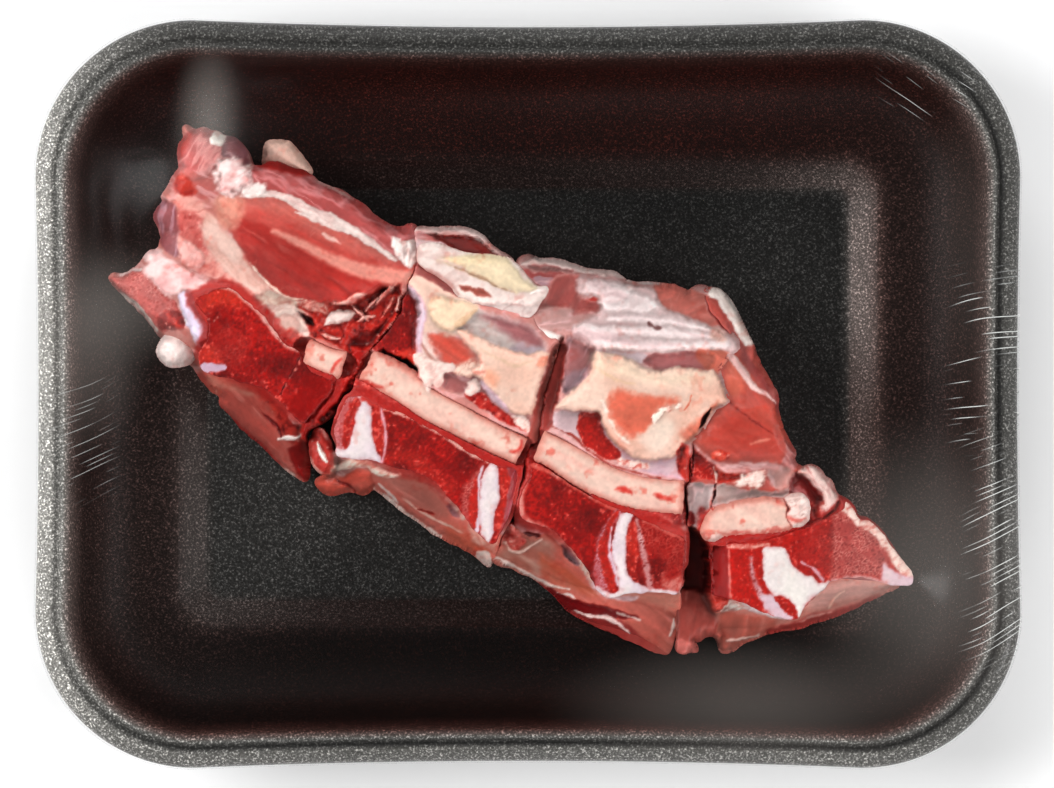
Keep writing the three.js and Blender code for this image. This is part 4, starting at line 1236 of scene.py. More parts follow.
    # Saw cut at the right, falling away into the gap.
    r.area("-50.6,-6.4 -48.6,-4.4 -46.4,-1.8 -44.6,0.6 -43.4,3 -41.4,4.6 -38.6,6.5 -39.4,3 -42,-2 -46,-6"
           " -50,-9.6", raw(rgb(140, 20, 18), rgb(96, 8, 8), rgb(172, 44, 34), 0.3, 2.4), soft=0.4,
           z=lambda x, y: 30 - 1.7 * np.clip((x + 44.5) * 0.72 - (y - 0.5) * 0.66, 0, 9))
    r.area("-79,22 -77,23.3 -75.5,22.6 -74.5,19.5 -73.1,16.6 -72,14 -73.4,10.4 -75.4,11.5 -76.4,14.5"
           " -77.6,17 -78.2,19.5", plain(rgb(208, 194, 214), 0.08), rise=1.2, edge=1.5)
    r.area("-77.6,16.9 -76.8,16.8 -76.4,15.9 -77.1,15.9", plain(rgb(244, 234, 234)), soft=0.12, rise=0.3)
    r.area("-43.6,3.4 -44.8,0.2 -46.6,-2.4 -48.8,-4.8 -51,-7 -51,-10 -47,-6.4 -43,-2.4 -40,2 -38,6.6"
           " -36.4,10.4 -39,9.4 -41,5", raw(rgb(164, 22, 17), rgb(112, 8, 7), rgb(206, 70, 56), 0.4, 1.2),
           soft=0.5, z=32.4)
    groove(CORD_1, 29.5, 2.8)(r)
    r.round_edge(4, 4.5, (SEAM_12,))
    return r


def face_1(look=MARROW):
    r = Relief(FACE_1, 11, ragged=0.18, look=look, level=SAW_CUT)
    r.area("-76,21 -72,24 -66.5,24.6 -63,21.6 -65,19 -69,20 -73,18",
           marrow(rgb(206, 54, 34), rgb(164, 22, 16), 0.2), soft=1.6)
    r.area("-73,17 -70,19 -67,17 -68,13 -71,12",
           raw(rgb(150, 16, 12), rgb(108, 8, 8), rgb(214, 110, 96), 0.3, 1.4), soft=1.0, amount=0.8)
    r.area("-74.5,10 -71,11 -69,8 -70,5 -74,6", marrow(rgb(208, 60, 44), rgb(176, 30, 24), 0.25), soft=1.2)
    r.area("-69,15 -64,13 -63,8 -67,6 -70,9", spongy(rgb(176, 40, 34), rgb(214, 120, 108)), soft=1.6,
           amount=0.55)
    r.line("-70.6,24.4,1.2 -66.5,24,1.6 -63,20.9,1.6 -59.5,17.6,1.7 -56,13.2,1.6 -54,11,1.4 -51.6,9.6,1.0",
           plain(rgb(230, 166, 156), 0.08), soft=0.45, rise=0.15)
    r.line("-66,25,0.8 -62,21,0.8 -58,17,0.7", plain(rgb(214, 196, 210)), soft=0.4, amount=0.6)
    r.area("-73.4,6.8 -70.5,7 -67.8,6.4 -68.2,5.3 -71,5.1 -73.6,5.4", plain(rgb(204, 170, 190)))
    r.line("-51.4,8.2,0.15 -53,5,0.25 -54.6,2.4,0.3 -55.8,0.2,0.2", plain(rgb(104, 8, 8)), soft=0.15,
           rise=-0.25)
    for x, y in ((-52.4, 5.6), (-53.6, 3.6), (-54.4, 2.1), (-51.6, 7.2)):
        r.area(f"{x-.2},{y} {x},{y+.35} {x+.25},{y} {x},{y-.3}", plain(rgb(208, 110, 98)), soft=0.15)
    r.area("-50,4 -46,3.6 -44,1.4 -47,-3.5 -50.6,-6.4 -55,-2 -52,0", plain(rgb(140, 14, 12), 0.12),
           soft=1.4, amount=0.7)
    return r


OUTLINE_2 = """-24.4,29.6 -24.7,33 -25,37.6 -22,37.9 -18,38 -14.5,37.9 -12,37.3 -10.5,36.2 -9,34.6 -7,33
 -4.5,31.2 -2.8,29.6 -1.6,28.6 -0.6,27.2 0.8,25.7 2.2,24.1 3,22.4 2.2,20 1.2,17.2 2.2,15 5,13 6.9,11.3
 5.8,8 4.6,4 3.6,0 2.8,-4 2.4,-7 1.4,-10.4 0.2,-10.6 -0.2,-12 -0.7,-14.5 -1.6,-15.8 -1.8,-18.6 -2.6,-22
 -3.6,-26.5 -5,-30 -6.6,-33 -7.4,-36 -8.2,-38.5 -8.8,-40.5 -10,-39.6 -12,-37.7 -13.5,-36.6 -16,-35.1
 -19.5,-33.4 -22,-32.1 -25,-29.7 -28.5,-27.3 -31.5,-24.7 -33.5,-23.1 -35.3,-21.9 -36.5,-22.6 -38.5,-23.5
 -40.5,-22.7 -43,-22.8 -46.5,-23.6 -48,-22.5 -49.4,-20.8 -48.6,-19.2 -47,-18.4 -48,-17.6 -49.6,-15.4
 -49.9,-13 -49.4,-10 -48.4,-8.3 -47.2,-8.2 -46,-9.8 -45,-12 -44,-13.2 -43.8,-11 -44.3,-8.8 -43.4,-6.4
 -42.3,-3.6 -40.9,-0.9 -39.3,0.4 -38.7,1.8 -38.2,4 -37.2,6.8 -35.4,9.4 -33.2,11.4 -30.8,14 -28.6,18
 -27.6,21.5 -26.3,24.6 -25,27.4"""
FACE_2 = """-40.6,-0.8 -38.5,-0.3 -36.6,-0.8 -35,-1.7 -33,-2.9 -30,-3.7 -27,-5.1 -23.5,-6.9 -20,-8.9
 -16,-11.1 -12.5,-13.4 -9.5,-15 -7,-15.9 -3.4,-16.3 -2.2,-17.2 -2.3,-19 -2.9,-22.4 -4,-26.6 -5.6,-30.4
 -6.9,-32.7 -8,-33.8 -10,-32.6 -12.4,-30.6 -14,-28.6 -15.4,-26.6 -17.6,-23.8 -19.8,-21 -22,-19.2
 -24.6,-17.8 -28,-17 -31,-16.4 -33,-15.7 -36,-14.9 -39.5,-14.7 -42.9,-13.8 -43.3,-11 -43.8,-8.8 -43,-6.4
 -42,-3.8"""
CORD_2 = "-36.4,6.4 -33,4.6 -28,1.6 -22,-2.5 -16,-5.7 -10,-8.9 -5,-11.2 -1.4,-12.8"


def piece_2():
    r = Relief(OUTLINE_2, 2, look=membrane(rgb(196, 132, 124), -30))
    r.join(JOIN_23, 0.2)
    r.join(OPEN_23, 0.2)
    r.join(LOW_23, 0.35)
    r.join(JOIN_12, 0.4)
    r.join(OPEN_12, 0.5)
    # Flank.
    r.area("-46,-17 -43,-19 -37,-16.6 -28,-16.4 -22,-19 -18,-23 -14,-28 -11,-31 -6,-32 -7,-36 -8.4,-42"
           " -16,-37 -22,-34 -33,-25 -36,-23 -40,-25 -47,-25 -51,-21 -48,-18.4",
           muscle(rgb(212, 118, 104), -35, 0.12, 0.4))
    r.area("-34,-18 -28,-18 -22,-20.4 -17,-26 -20,-28 -26,-25 -31,-21.6",
           muscle(rgb(180, 108, 96), -30, 0.1, 0.5), soft=1.2, amount=0.8)
    r.area("-19,-30 -14,-31.4 -10,-33 -8,-36 -12,-37 -18,-34", muscle(rgb(202, 98, 74), -40), soft=1.2,
           amount=0.8)
    r.area("-49.4,-20.8 -46.8,-18.6 -43.5,-19.7 -41,-18.3 -38,-17.4 -35.5,-18.4 -35,-21.6 -38.5,-23.5"
           " -41,-22.6 -46.5,-23.7", muscle(rgb(192, 88, 72), 15, 0.12, 0.3), dome=1.0, width=2.5)
    r.line("-44.4,-19.6,0.4 -42,-21,0.8 -40,-22.5,0.4", plain(rgb(142, 34, 30)), rise=-0.6)
    r.line("-35.4,-21.7,0.5 -31.6,-24.6,0.9 -28,-27.6,1.0 -24,-30.4,0.8 -20,-32.9,0.5",
           plain(rgb(236, 214, 204)), rise=0.3)
    r.line("-34,-20.6,0.2 -31.5,-23.2,0.7 -30,-24.8,0.3", plain(rgb(232, 208, 200)))
    r.line("-29.6,-23,0.3 -24,-27.4,0.5 -19,-30,0.4 -14,-32.6,0.3", plain(rgb(226, 176, 160)), fade=0.2)
    r.line("-25.2,-26.4,0.2 -23,-27.2,0.7 -21.4,-27.8,0.3", plain(rgb(150, 34, 26)), rise=-0.3)
    r.area("-12,-36.8 -9.6,-36 -8.2,-38.2 -8.9,-40.6 -10.8,-39.4", fat(rgb(226, 200, 190)), soft=0.2)
    r.area("-13.6,-29.6 -12,-31 -8.4,-33 -7,-32.8 -7.4,-36 -10,-35.6 -13,-33.6",
           fat(rgb(216, 160, 146), rgb(200, 110, 92), 1.6), soft=0.6)
    r.area("-18.8,-25.4 -17.6,-27.4 -15.8,-28.6 -15.2,-27 -16.6,-25", plain(rgb(164, 100, 104)), soft=0.25,
           rise=-0.8)
    r.line("-34,-16.2,0.8 -28,-17.4,1.2 -24,-18.6,2 -21,-20.6,2.2 -18.5,-23,2 -16.4,-25.6,1.8"
           " -14.8,-28.4,1.4", fat(rgb(216, 176, 164), rgb(190, 116, 104), 1.2, 0.3), soft=0.4, rise=0.3)
    r.line("-44.6,-17.4,1.4 -42,-16.2,2.2 -39,-15.6,2.2 -36.5,-15.9,1.6 -34.5,-17.4,2.2 -31.5,-18.4,1.4"
           " -29,-18.1,0.8", fat(rgb(244, 218, 202), rgb(214, 140, 122), 1.1, 0.3), rise=0.8)
    r.area("-49.9,-10 -48.4,-8.2 -47,-8.2 -45.6,-10.8 -44.2,-13 -44.2,-15.8 -45.6,-18 -47.6,-18 -49.8,-15.5",
           raw(rgb(184, 62, 54), rgb(140, 26, 22), rgb(224, 130, 120), 0.3, 1.4), z=27)
    r.line("-47.8,-11,0.5 -46.8,-13.4,1.2 -45.6,-15.2,0.6", plain(rgb(246, 228, 218)), rise=0.8)
    r.line("-49.6,-14.6,0.6 -48.2,-17.2,0.9 -46.6,-18,0.6", plain(rgb(226, 168, 156)), rise=0.3)
    # Sawn arch at the upper left, its pale rim and the hollow of the canal.
    r.area("-28.4,25 -26.6,24 -25,21.6 -24.2,18.6 -24.8,15.8 -25.2,12.6 -25,9.6 -25,6.4 -27,7.2 -30,8.6"
           " -33.4,9.8 -36,10.6 -33.4,13 -30.8,16.2 -29,20", marrow(rgb(138, 16, 14), rgb(96, 8, 8), 0.18),
           z=32.8)
    r.area("-30.5,9 -27,10.2 -25.2,10 -25,6.6 -27.4,7.4 -30,8.6 -33.4,9.8",
           raw(rgb(202, 60, 44), relief=0.3), soft=0.4, amount=0.8)
    r.area("-26.4,26 -23,26.4 -19,24.4 -15.6,22 -11.6,20.6 -10.6,19 -13.6,14.4 -18,13 -22,12.6 -24,15"
           " -23.6,20 -25.6,23.4", arch(rgb(238, 210, 190), rgb(226, 178, 162)), soft=0.5)
    r.area("-24.4,12.6 -22,14.2 -19.6,13.6 -21.4,10.4 -18.8,6.6 -15,4.8 -20,3.4 -25.4,5.6 -25,9",
           fat(rgb(236, 204, 194), rgb(214, 146, 132), 1.2, 0.3, -55), soft=0.4)
    r.line("-27,24.4,1.2 -24.9,21.8,1.8 -23.9,18.6,2.2 -24.2,15.4,2 -24.6,12,1.5 -24.4,9,1.4 -24.6,6.6,1.0",
           disc(rgb(220, 200, 210), rgb(204, 178, 196)), soft=0.4, rise=0.2)
    # The hollow of the canal, painted near black as its shade.
    r.area("-33,9.8 -29.6,8.1 -25.4,6.4 -25.1,5 -26.4,4 -29,6 -31.6,8.2", plain(rgb(48, 6, 6)), soft=0.15,
           z=25)
    r.area("-28.2,5.9 -26.4,6.3 -25.9,5.1 -27.2,4.6", plain(rgb(120, 20, 18)), soft=0.2, rise=1)
    # Arch surface, knob and the hollow behind it.
    r.area("-16.4,14.8 -12.6,17.6 -11.3,18.9 -9,18.4 -4,17.2 1,15 2.6,13 4.4,10 1,8.8 -3,9.4 -7,10.6"
           " -11,12.4 -14,13.6", membrane(rgb(206, 188, 182), -20, rgb(222, 210, 206), 0.2), soft=0.8,
           rise=-0.7, edge=1.6)
    r.area("-10.6,17.8 -5,17.2 0.4,15.2 2.6,13.2 3.6,10.8 1.8,10 -2,11.6 -6,14.4",
           muscle(rgb(160, 92, 96), -20, 0.08, 0.15), soft=1.4, amount=0.9)
    r.area("-4,9.9 0,9.2 3.8,9.6 2,10.6 -2,11.2", plain(rgb(192, 170, 178)), soft=0.8)
    r.area("-16.4,14.8 -13,13.9 -10,12.5 -7,10.9 -4,9.9 0,9.2 3.4,9.4 4.8,8.6 4.4,7 3.3,4 2.5,1 1.8,-2"
           " 1.2,-4.4 -1,-5 -4,-4.2 -6.5,-1.8 -9,1.4 -11,3.6 -12.4,5.2 -11,7.4 -12.4,9.6 -14.6,12", arch(),
           rise=0.7, dome=0.8)
    r.area("-22.2,13 -20.6,13.5 -17.6,12.9 -15,11.3 -12.8,9 -10.8,7 -12.4,5.8 -15,5.8 -17.6,5.6 -18.8,7.8"
           " -20.8,10.4", muscle(rgb(210, 92, 74), -35, 0.1, 0.2), soft=1.3, fray=1.0, amount=0.92)
    r.area("-10.4,5.6 -7.6,5.2 -6.8,3.4 -7.4,1.8 -9.8,3.2", plain(rgb(230, 158, 126)), soft=1.3, amount=0.8)
    r.area("-14.6,7 -11,7.6 -9.4,5.4 -11,3.6 -15,4.2 -17.6,5.2",
           fat(rgb(240, 204, 186), rgb(216, 140, 122), 0.9), soft=0.7)
    r.line("-11,9.8,0.3 -7,8.2,0.6 -3,6.4,0.7 1,7.6,0.4", plain(rgb(214, 178, 150)), soft=0.5, amount=0.7)
    r.area("2.2,7.6 4.4,8.4 4.2,6.4 2.8,5",
           raw(rgb(230, 150, 122), rgb(214, 96, 70), rgb(240, 206, 186), 0.1), soft=0.6, amount=0.8)
    r.area("-22.4,20.6 -20.4,22 -17,21.4 -13.4,20.5 -11.5,19.8 -11.2,18.7 -12.4,17.4 -13.9,16.1 -15.6,14.7"
           " -18,14 -20.2,14.9 -22,17", plain(rgb(230, 200, 170), 0.04, 0), rise=0.8, dome=0.9)
    r.area("-15.6,14.9 -13.9,16.2 -12.2,17.7 -11.3,18.8 -12.4,18.7 -14.6,17.4 -16.6,15.8",
           plain(rgb(222, 186, 150)))
    # Edge beside the cord.
    r.area("-20.6,3.8 -18,4.9 -16.6,4.9 -14,3.8 -11.6,3.8 -9.6,1.2 -7,-1.8 -4.6,-4 -2,-4.8 0.6,-6 0.2,-8.4"
           " -4,-6.8 -8,-4.6 -12,-2.2 -15,-0.2 -18.6,1.4",
           membrane(rgb(176, 106, 104), -30, rgb(212, 170, 172)), z=32.8)
    r.area("-14,0.2 -11,0.6 -9.4,-0.4 -7.6,-2.3 -5.6,-4.1 -3.6,-5.1 -1,-6.2 -0.4,-8.2 -3,-7.4 -7,-5.4"
           " -11,-3 -13.8,-1", raw(rgb(188, 44, 36), rgb(140, 16, 14), rgb(230, 130, 116), 0.35, 1.1))
    r.line("-10.4,2.6,0.8 -8.6,0.4,1.4 -6.6,-1.8,1.3 -4.6,-3.7,0.9", disc(rgb(212, 184, 198)), rise=0.3)
    r.area("-13.9,1.5 -13.2,2.9 -12,3.5 -10.8,2.7 -10.5,1.2 -11.6,0.4 -13,-0.3 -14.2,0",
           plain(rgb(238, 206, 196)), soft=0.25, rise=0.8)
    r.area("-3.8,-4.9 -1.6,-4.9 0.4,-6.4 0.4,-8.9 -1,-8.4 -2.6,-6.6",
           fat(rgb(244, 212, 202), rgb(220, 150, 138), 1), rise=0.5)
    r.area("5,9.6 7.4,11.6 6.2,8 5,3 4,-1.6 3.2,-6 2,-11.4 -0.4,-11 0.4,-7 1.1,-4.6 1.9,-1.8 2.7,1 3.5,4"
           " 4.6,7", muscle(rgb(186, 92, 82), 75, 0.14, 0.4), z=lambda x,
           y: 32.6 - 0.8 * np.clip(x - np.interp(y, [-10, -4, 4, 9], [0.2, 1.2, 3.4, 4.8]), 0, 4))
    # Upper left tissue and the lip of the cut.
    r.area("-24.6,30 -22,29 -18,26.6 -16.4,23.8 -14.6,21.8 -17,22.4 -20.6,24.8 -24.6,26.8",
           muscle(rgb(176, 100, 96), -35), soft=0.4, rise=-0.6)
    r.area("-24.8,34.6 -22,34.2 -20,34.8 -18,34.2 -15.6,32.8 -12,32 -8,31.6 -5,30.6 -8,30 -14,31 -20,32.4"
           " -24.6,32.6", membrane(rgb(214, 184, 184), -10))
    r.area("-22.4,36.1 -18,35.9 -12,35.7 -10.4,35 -8.8,33.4 -5.6,30.6 -9,31.3 -13,31.7 -16,32.4 -18.8,34",
           muscle(rgb(150, 44, 38), 10), soft=0.25, rise=-1.8, edge=0.7)
    r.line("-25,36.9,1.6 -20,37,1.8 -14.5,36.9,2.0 -11.6,36.2,1.9 -9.4,34.2,1.4 -6.4,31.8,1.2 -2.6,29.2,0.9",
           fat(rgb(218, 190, 184), rgb(190, 134, 128), 2, 0.2, 0), soft=0.3, rise=0.7)
    r.area("-25,36.4 -22.4,36.2 -20,34.6 -22.4,34.6 -25,35", membrane(rgb(178, 100, 96), 0))
    groove(CORD_2, 29.6, 3.4)(r)
    r.area(SHRED, SHRED_LOOK, soft=0.2, z=34.3, fray=0.3)
    r.round_edge(3.5, 4.0, (SEAM_12, SEAM_23))
    return r


# A shred of the lining, hanging over the second length of cord.
SHRED = ("-26,8.4 -24.6,4.6 -23.4,1.8 -22.2,0.2 -21.4,2.2 -20.2,1.4 -19,2.8 -18.6,4.6 -16.4,5.4 -17,6.8"
         " -21,7.4 -24,9.2")
SHRED_LOOK = fat(rgb(240, 214, 204), rgb(226, 180, 170), 1.2)


def face_2():
    r = Relief(FACE_2, 12, ragged=0.2, look=MARROW, level=SAW_CUT)
    r.area("-32.4,-4 -26,-5.6 -22,-8 -23,-12 -30,-12 -32.6,-9",
           marrow(rgb(136, 16, 12), rgb(104, 8, 8), 0.08), soft=2, amount=0.7)
    r.area("-34,-16 -30,-12 -24,-14 -20,-18 -16,-21 -19,-22.4 -23,-18.4 -28,-17.4",
           marrow(rgb(182, 36, 26), speck=0.3), soft=1.4)
    r.area("-40.8,-0.8 -38.3,-0.2 -37.4,-1.8 -38.8,-5 -39.8,-9 -40.4,-12 -41,-15 -43.6,-14 -44.4,-9"
           " -42.6,-4.6", spongy(rgb(206, 108, 108), rgb(226, 160, 166), rgb(186, 60, 56)))
    r.area("-38.7,-0.9 -37.8,-1.8 -38.9,-5.2 -39.8,-9 -40.3,-12.2 -41.6,-12.1 -42,-9.4 -41,-5.4 -39.7,-2",
           marrow(rgb(200, 50, 38), rgb(160, 20, 16)), rise=-0.25)
    r.area("-38.2,-0.5 -36.6,-1 -35.4,-3.4 -35,-7 -34.7,-10.6 -33.8,-12.8 -33,-15.6 -36,-15 -39.5,-14.8"
           " -43.2,-14 -42.8,-12.2 -41,-12.3 -39.8,-9.6 -38.9,-5.4 -37.9,-2.4", disc(), soft=0.25,
           rise=0.12, dome=0.15, width=3)
    r.area("-34.8,-2.4 -33.2,-2.8 -32.6,-6 -32.2,-10 -32.4,-12.8 -34,-12.6 -34.9,-9 -35.1,-5",
           marrow(rgb(204, 52, 40), speck=0.3), soft=0.25)
    r.line("-33.2,-3,0.5 -32.1,-8,0.7 -32,-12,0.7 -32.8,-15.4,0.8", plain(rgb(222, 160, 170)), soft=0.3)
    r.line("-37,-1.2,1.3 -33,-2.3,1.7 -29,-3.6,1.3 -25,-5.6,0.7", raw(rgb(200, 66, 60), relief=0.2), soft=0.3)
    r.line("-32.4,-3.4,0.5 -30,-4,0.6 -25,-6.2,0.5 -19,-9.6,0.5 -13,-13.4,0.6 -9,-15.4,0.6",
           plain(rgb(230, 168, 156)))
    r.area("-15,-22.4 -13,-19 -11.6,-17 -9.6,-15.6 -11.6,-21 -12.2,-26 -12,-30.8 -14.6,-28.2",
           spongy(rgb(196, 80, 78)), soft=0.8, amount=0.85)
    r.area("-12.2,-19.8 -11.2,-18.4 -11,-22 -11.1,-26 -11.3,-29 -12.2,-30.2 -13.3,-28.4 -13.3,-24",
           marrow(rgb(200, 44, 32)))
    r.line("-10.2,-16.4,0.5 -11.2,-20,0.7 -11,-26,0.7 -11.4,-30.6,1.0", plain(rgb(226, 196, 208)))
    r.area("-8.3,-15.7 -6.9,-16.2 -6.7,-18.4 -6.5,-21 -6.4,-23.4 -7.1,-26 -7.5,-29 -7.9,-31.6 -9,-33.2"
           " -10.5,-31 -11.2,-27 -11,-23 -10.4,-19.4 -9.4,-16.8", disc(), soft=0.25, rise=0.12, dome=0.15,
           width=2.4)
    r.area("-6.3,-17 -4.6,-16.5 -3.9,-17.8 -4.5,-21 -4.9,-26 -5.5,-29.6 -6.6,-31.6 -7.4,-29.6 -7,-26.4"
           " -6.1,-23.4 -6.5,-20.4", marrow(rgb(200, 46, 34), speck=0.25), soft=0.25)
    r.area("-4.5,-16.4 -2,-16.6 -1.6,-19 -2.6,-23 -3.8,-27 -5.4,-31 -6.8,-32.4 -5.5,-28.6 -4.8,-24"
           " -4.2,-19.6", membrane(rgb(172, 62, 68), 75, rgb(196, 130, 146)), rise=-0.5)
    return r

FOLD_2 = """-24.7,30.4 -24.3,33.1 -21.6,33.8 -20,33.6 -16,32.2 -12,31.5 -8,31.2 -4.4,30.4 -2.4,28.8 -1,27
 0.4,25.4 2,24.1 4.4,24.1 4.3,22.8 3,21 1.8,18.4 0.6,17.2 -1,17.3 -4,18 -8,19 -11,19.6 -13.6,20.8 -16,22
 -17,24.2 -20,26.4 -23.4,28.6"""


def fold_2():
    """The white fold of fat over the second piece, with the yellow ligament in it."""
    r = Relief(FOLD_2, 14, ragged=0.15, look=fat(rgb(240, 220, 212), rgb(216, 176, 168), 3, 0.15), level=36.2)
    r.z += 0.05 * (r.y - 22)
    r.area("-20.6,29.9 -17,30.6 -13,31.2 -9,31.3 -5.6,30.6 -3.4,29 -1.6,26.8 0.4,24.9 2.8,23.3 0,23"
           " -3,22.7 -5,23.6 -8,24.6 -12,26.8 -16,28.8", plain(rgb(228, 207, 174), 0, -0.04), soft=0.35,
           rise=0.15, dome=1.0, width=5)
    r.area("-20,29.8 -14,31 -9,31.1 -4.6,29.8 -8,29.6 -14,29.6", plain(rgb(220, 198, 152)), soft=1.4,
           amount=0.5)
    r.line("-18,29.2,0.2 -14,27.6,0.5 -10,25.6,0.6 -6.5,23.9,0.4 -3,22.8,0.3", plain(rgb(214, 172, 140)),
           soft=0.3, rise=-0.3)
    r.area("-15.4,24.7 -13,24.2 -9.6,23.1 -8,21.8 -9.4,21.7 -12,22.3 -14.4,23.3",
           muscle(rgb(186, 96, 80), -20), rise=-0.7)
    r.area("-11.8,20.4 -6,20.7 0,20.3 3.2,20.8 2,18 0.6,16.9 -4,17.6 -11,19.2",
           fat(rgb(240, 218, 212), rgb(214, 170, 166), 2, 0.25), soft=0.4, rise=-0.9)
    r.line("-24,28.6,0.6 -20,26.8,0.6 -17,24.6,0.5 -15.6,22.4,0.4", plain(rgb(214, 160, 152)), soft=0.3)
    r.line("-24,31,0.2 -18,29.6,0.5 -15,28.4,0.3", plain(rgb(216, 186, 180)), soft=0.3, amount=0.7)
    r.line("0.6,22.6,0.3 2.4,23.3,0.8 3.8,23.5,0.5", WHITE_FAT, rise=0.5)
    r.round_edge(1.6, 1.0)
    return r


OUTLINE_3 = """-1.5,29.2 -0.6,30.3 1,30.9 4,31.1 7.5,30.5 11,29.4 14,28.4 17,28.5 20,27.9 22,26.7 25,25.7
 29,25.6 32.8,25.2 33.7,25.6 35,24.5 37.5,23.7 40.5,23.5 40.9,22 42,19 44.4,15.8 46.8,12.8 47.4,10.6
 45.4,9 42.8,5.4 43.4,2.6 44,0.4 44.5,-1.8 41.7,-3.2 40.6,-4.8 39,-7.6 36,-10.6 35.8,-14 35.9,-19.6
 35,-20.4 35,-26.8 35.7,-32.6 35.3,-40 34.5,-45 34.5,-50 33.7,-55 32.8,-59.4 31,-60 29,-59.8 26,-58.1
 22,-56.5 18.5,-55.1 15,-53.7 12.5,-52.5 9,-49.8 6.5,-46.8 3.5,-44.6 1,-42.8 -2,-41.6 -4,-40.1 -6.6,-38.5
 -7.4,-37.6 -6,-35.8 -5,-34.4 -4.7,-32.4 -3.7,-30.1 -2.6,-30.8 -1.9,-28.8 -2.3,-26.4 -1.9,-23.6 -0.8,-20.6
 -0.1,-19.4 0.1,-16.6 0.3,-15 0.5,-13.4 1.3,-12 2.4,-10.2 3.2,-7.4 3.6,-4.4 4.4,-0.4 5.4,3.6 6.6,7.6
 7.8,11.2 7.5,12.1 5.6,13.5 3.2,15 1.8,16.8 2.8,19 3.6,21 4.4,23 3.6,24.8 1.4,25.8 0,27.4"""
FACE_3 = """0.4,-15.6 2,-15.7 5,-17.3 8,-19.3 11,-21.1 14,-22.9 17,-24.4 20.2,-25.8 23,-26.9 26,-28.4
 29,-29.8 32.4,-31.1 35.3,-32.9 35.3,-36 35,-40 34.4,-44 33.4,-45.4 30,-44.8 26,-44.6 22,-44.9 18.6,-45.9
 16,-44.6 14.6,-42.4 13.6,-39.8 11.8,-37.2 9.6,-34.6 7.4,-32.2 5,-30.2 2,-29.2 -0.4,-28.6 -1.7,-27.4
 -1.9,-24.4 -1.1,-21.6 0,-19.8 0.5,-18"""
CORD_3 = "2.4,-11.6 6,-13.2 10,-15.6 14,-18 18,-20 23,-21.8 29,-22.9 34.8,-23.2"


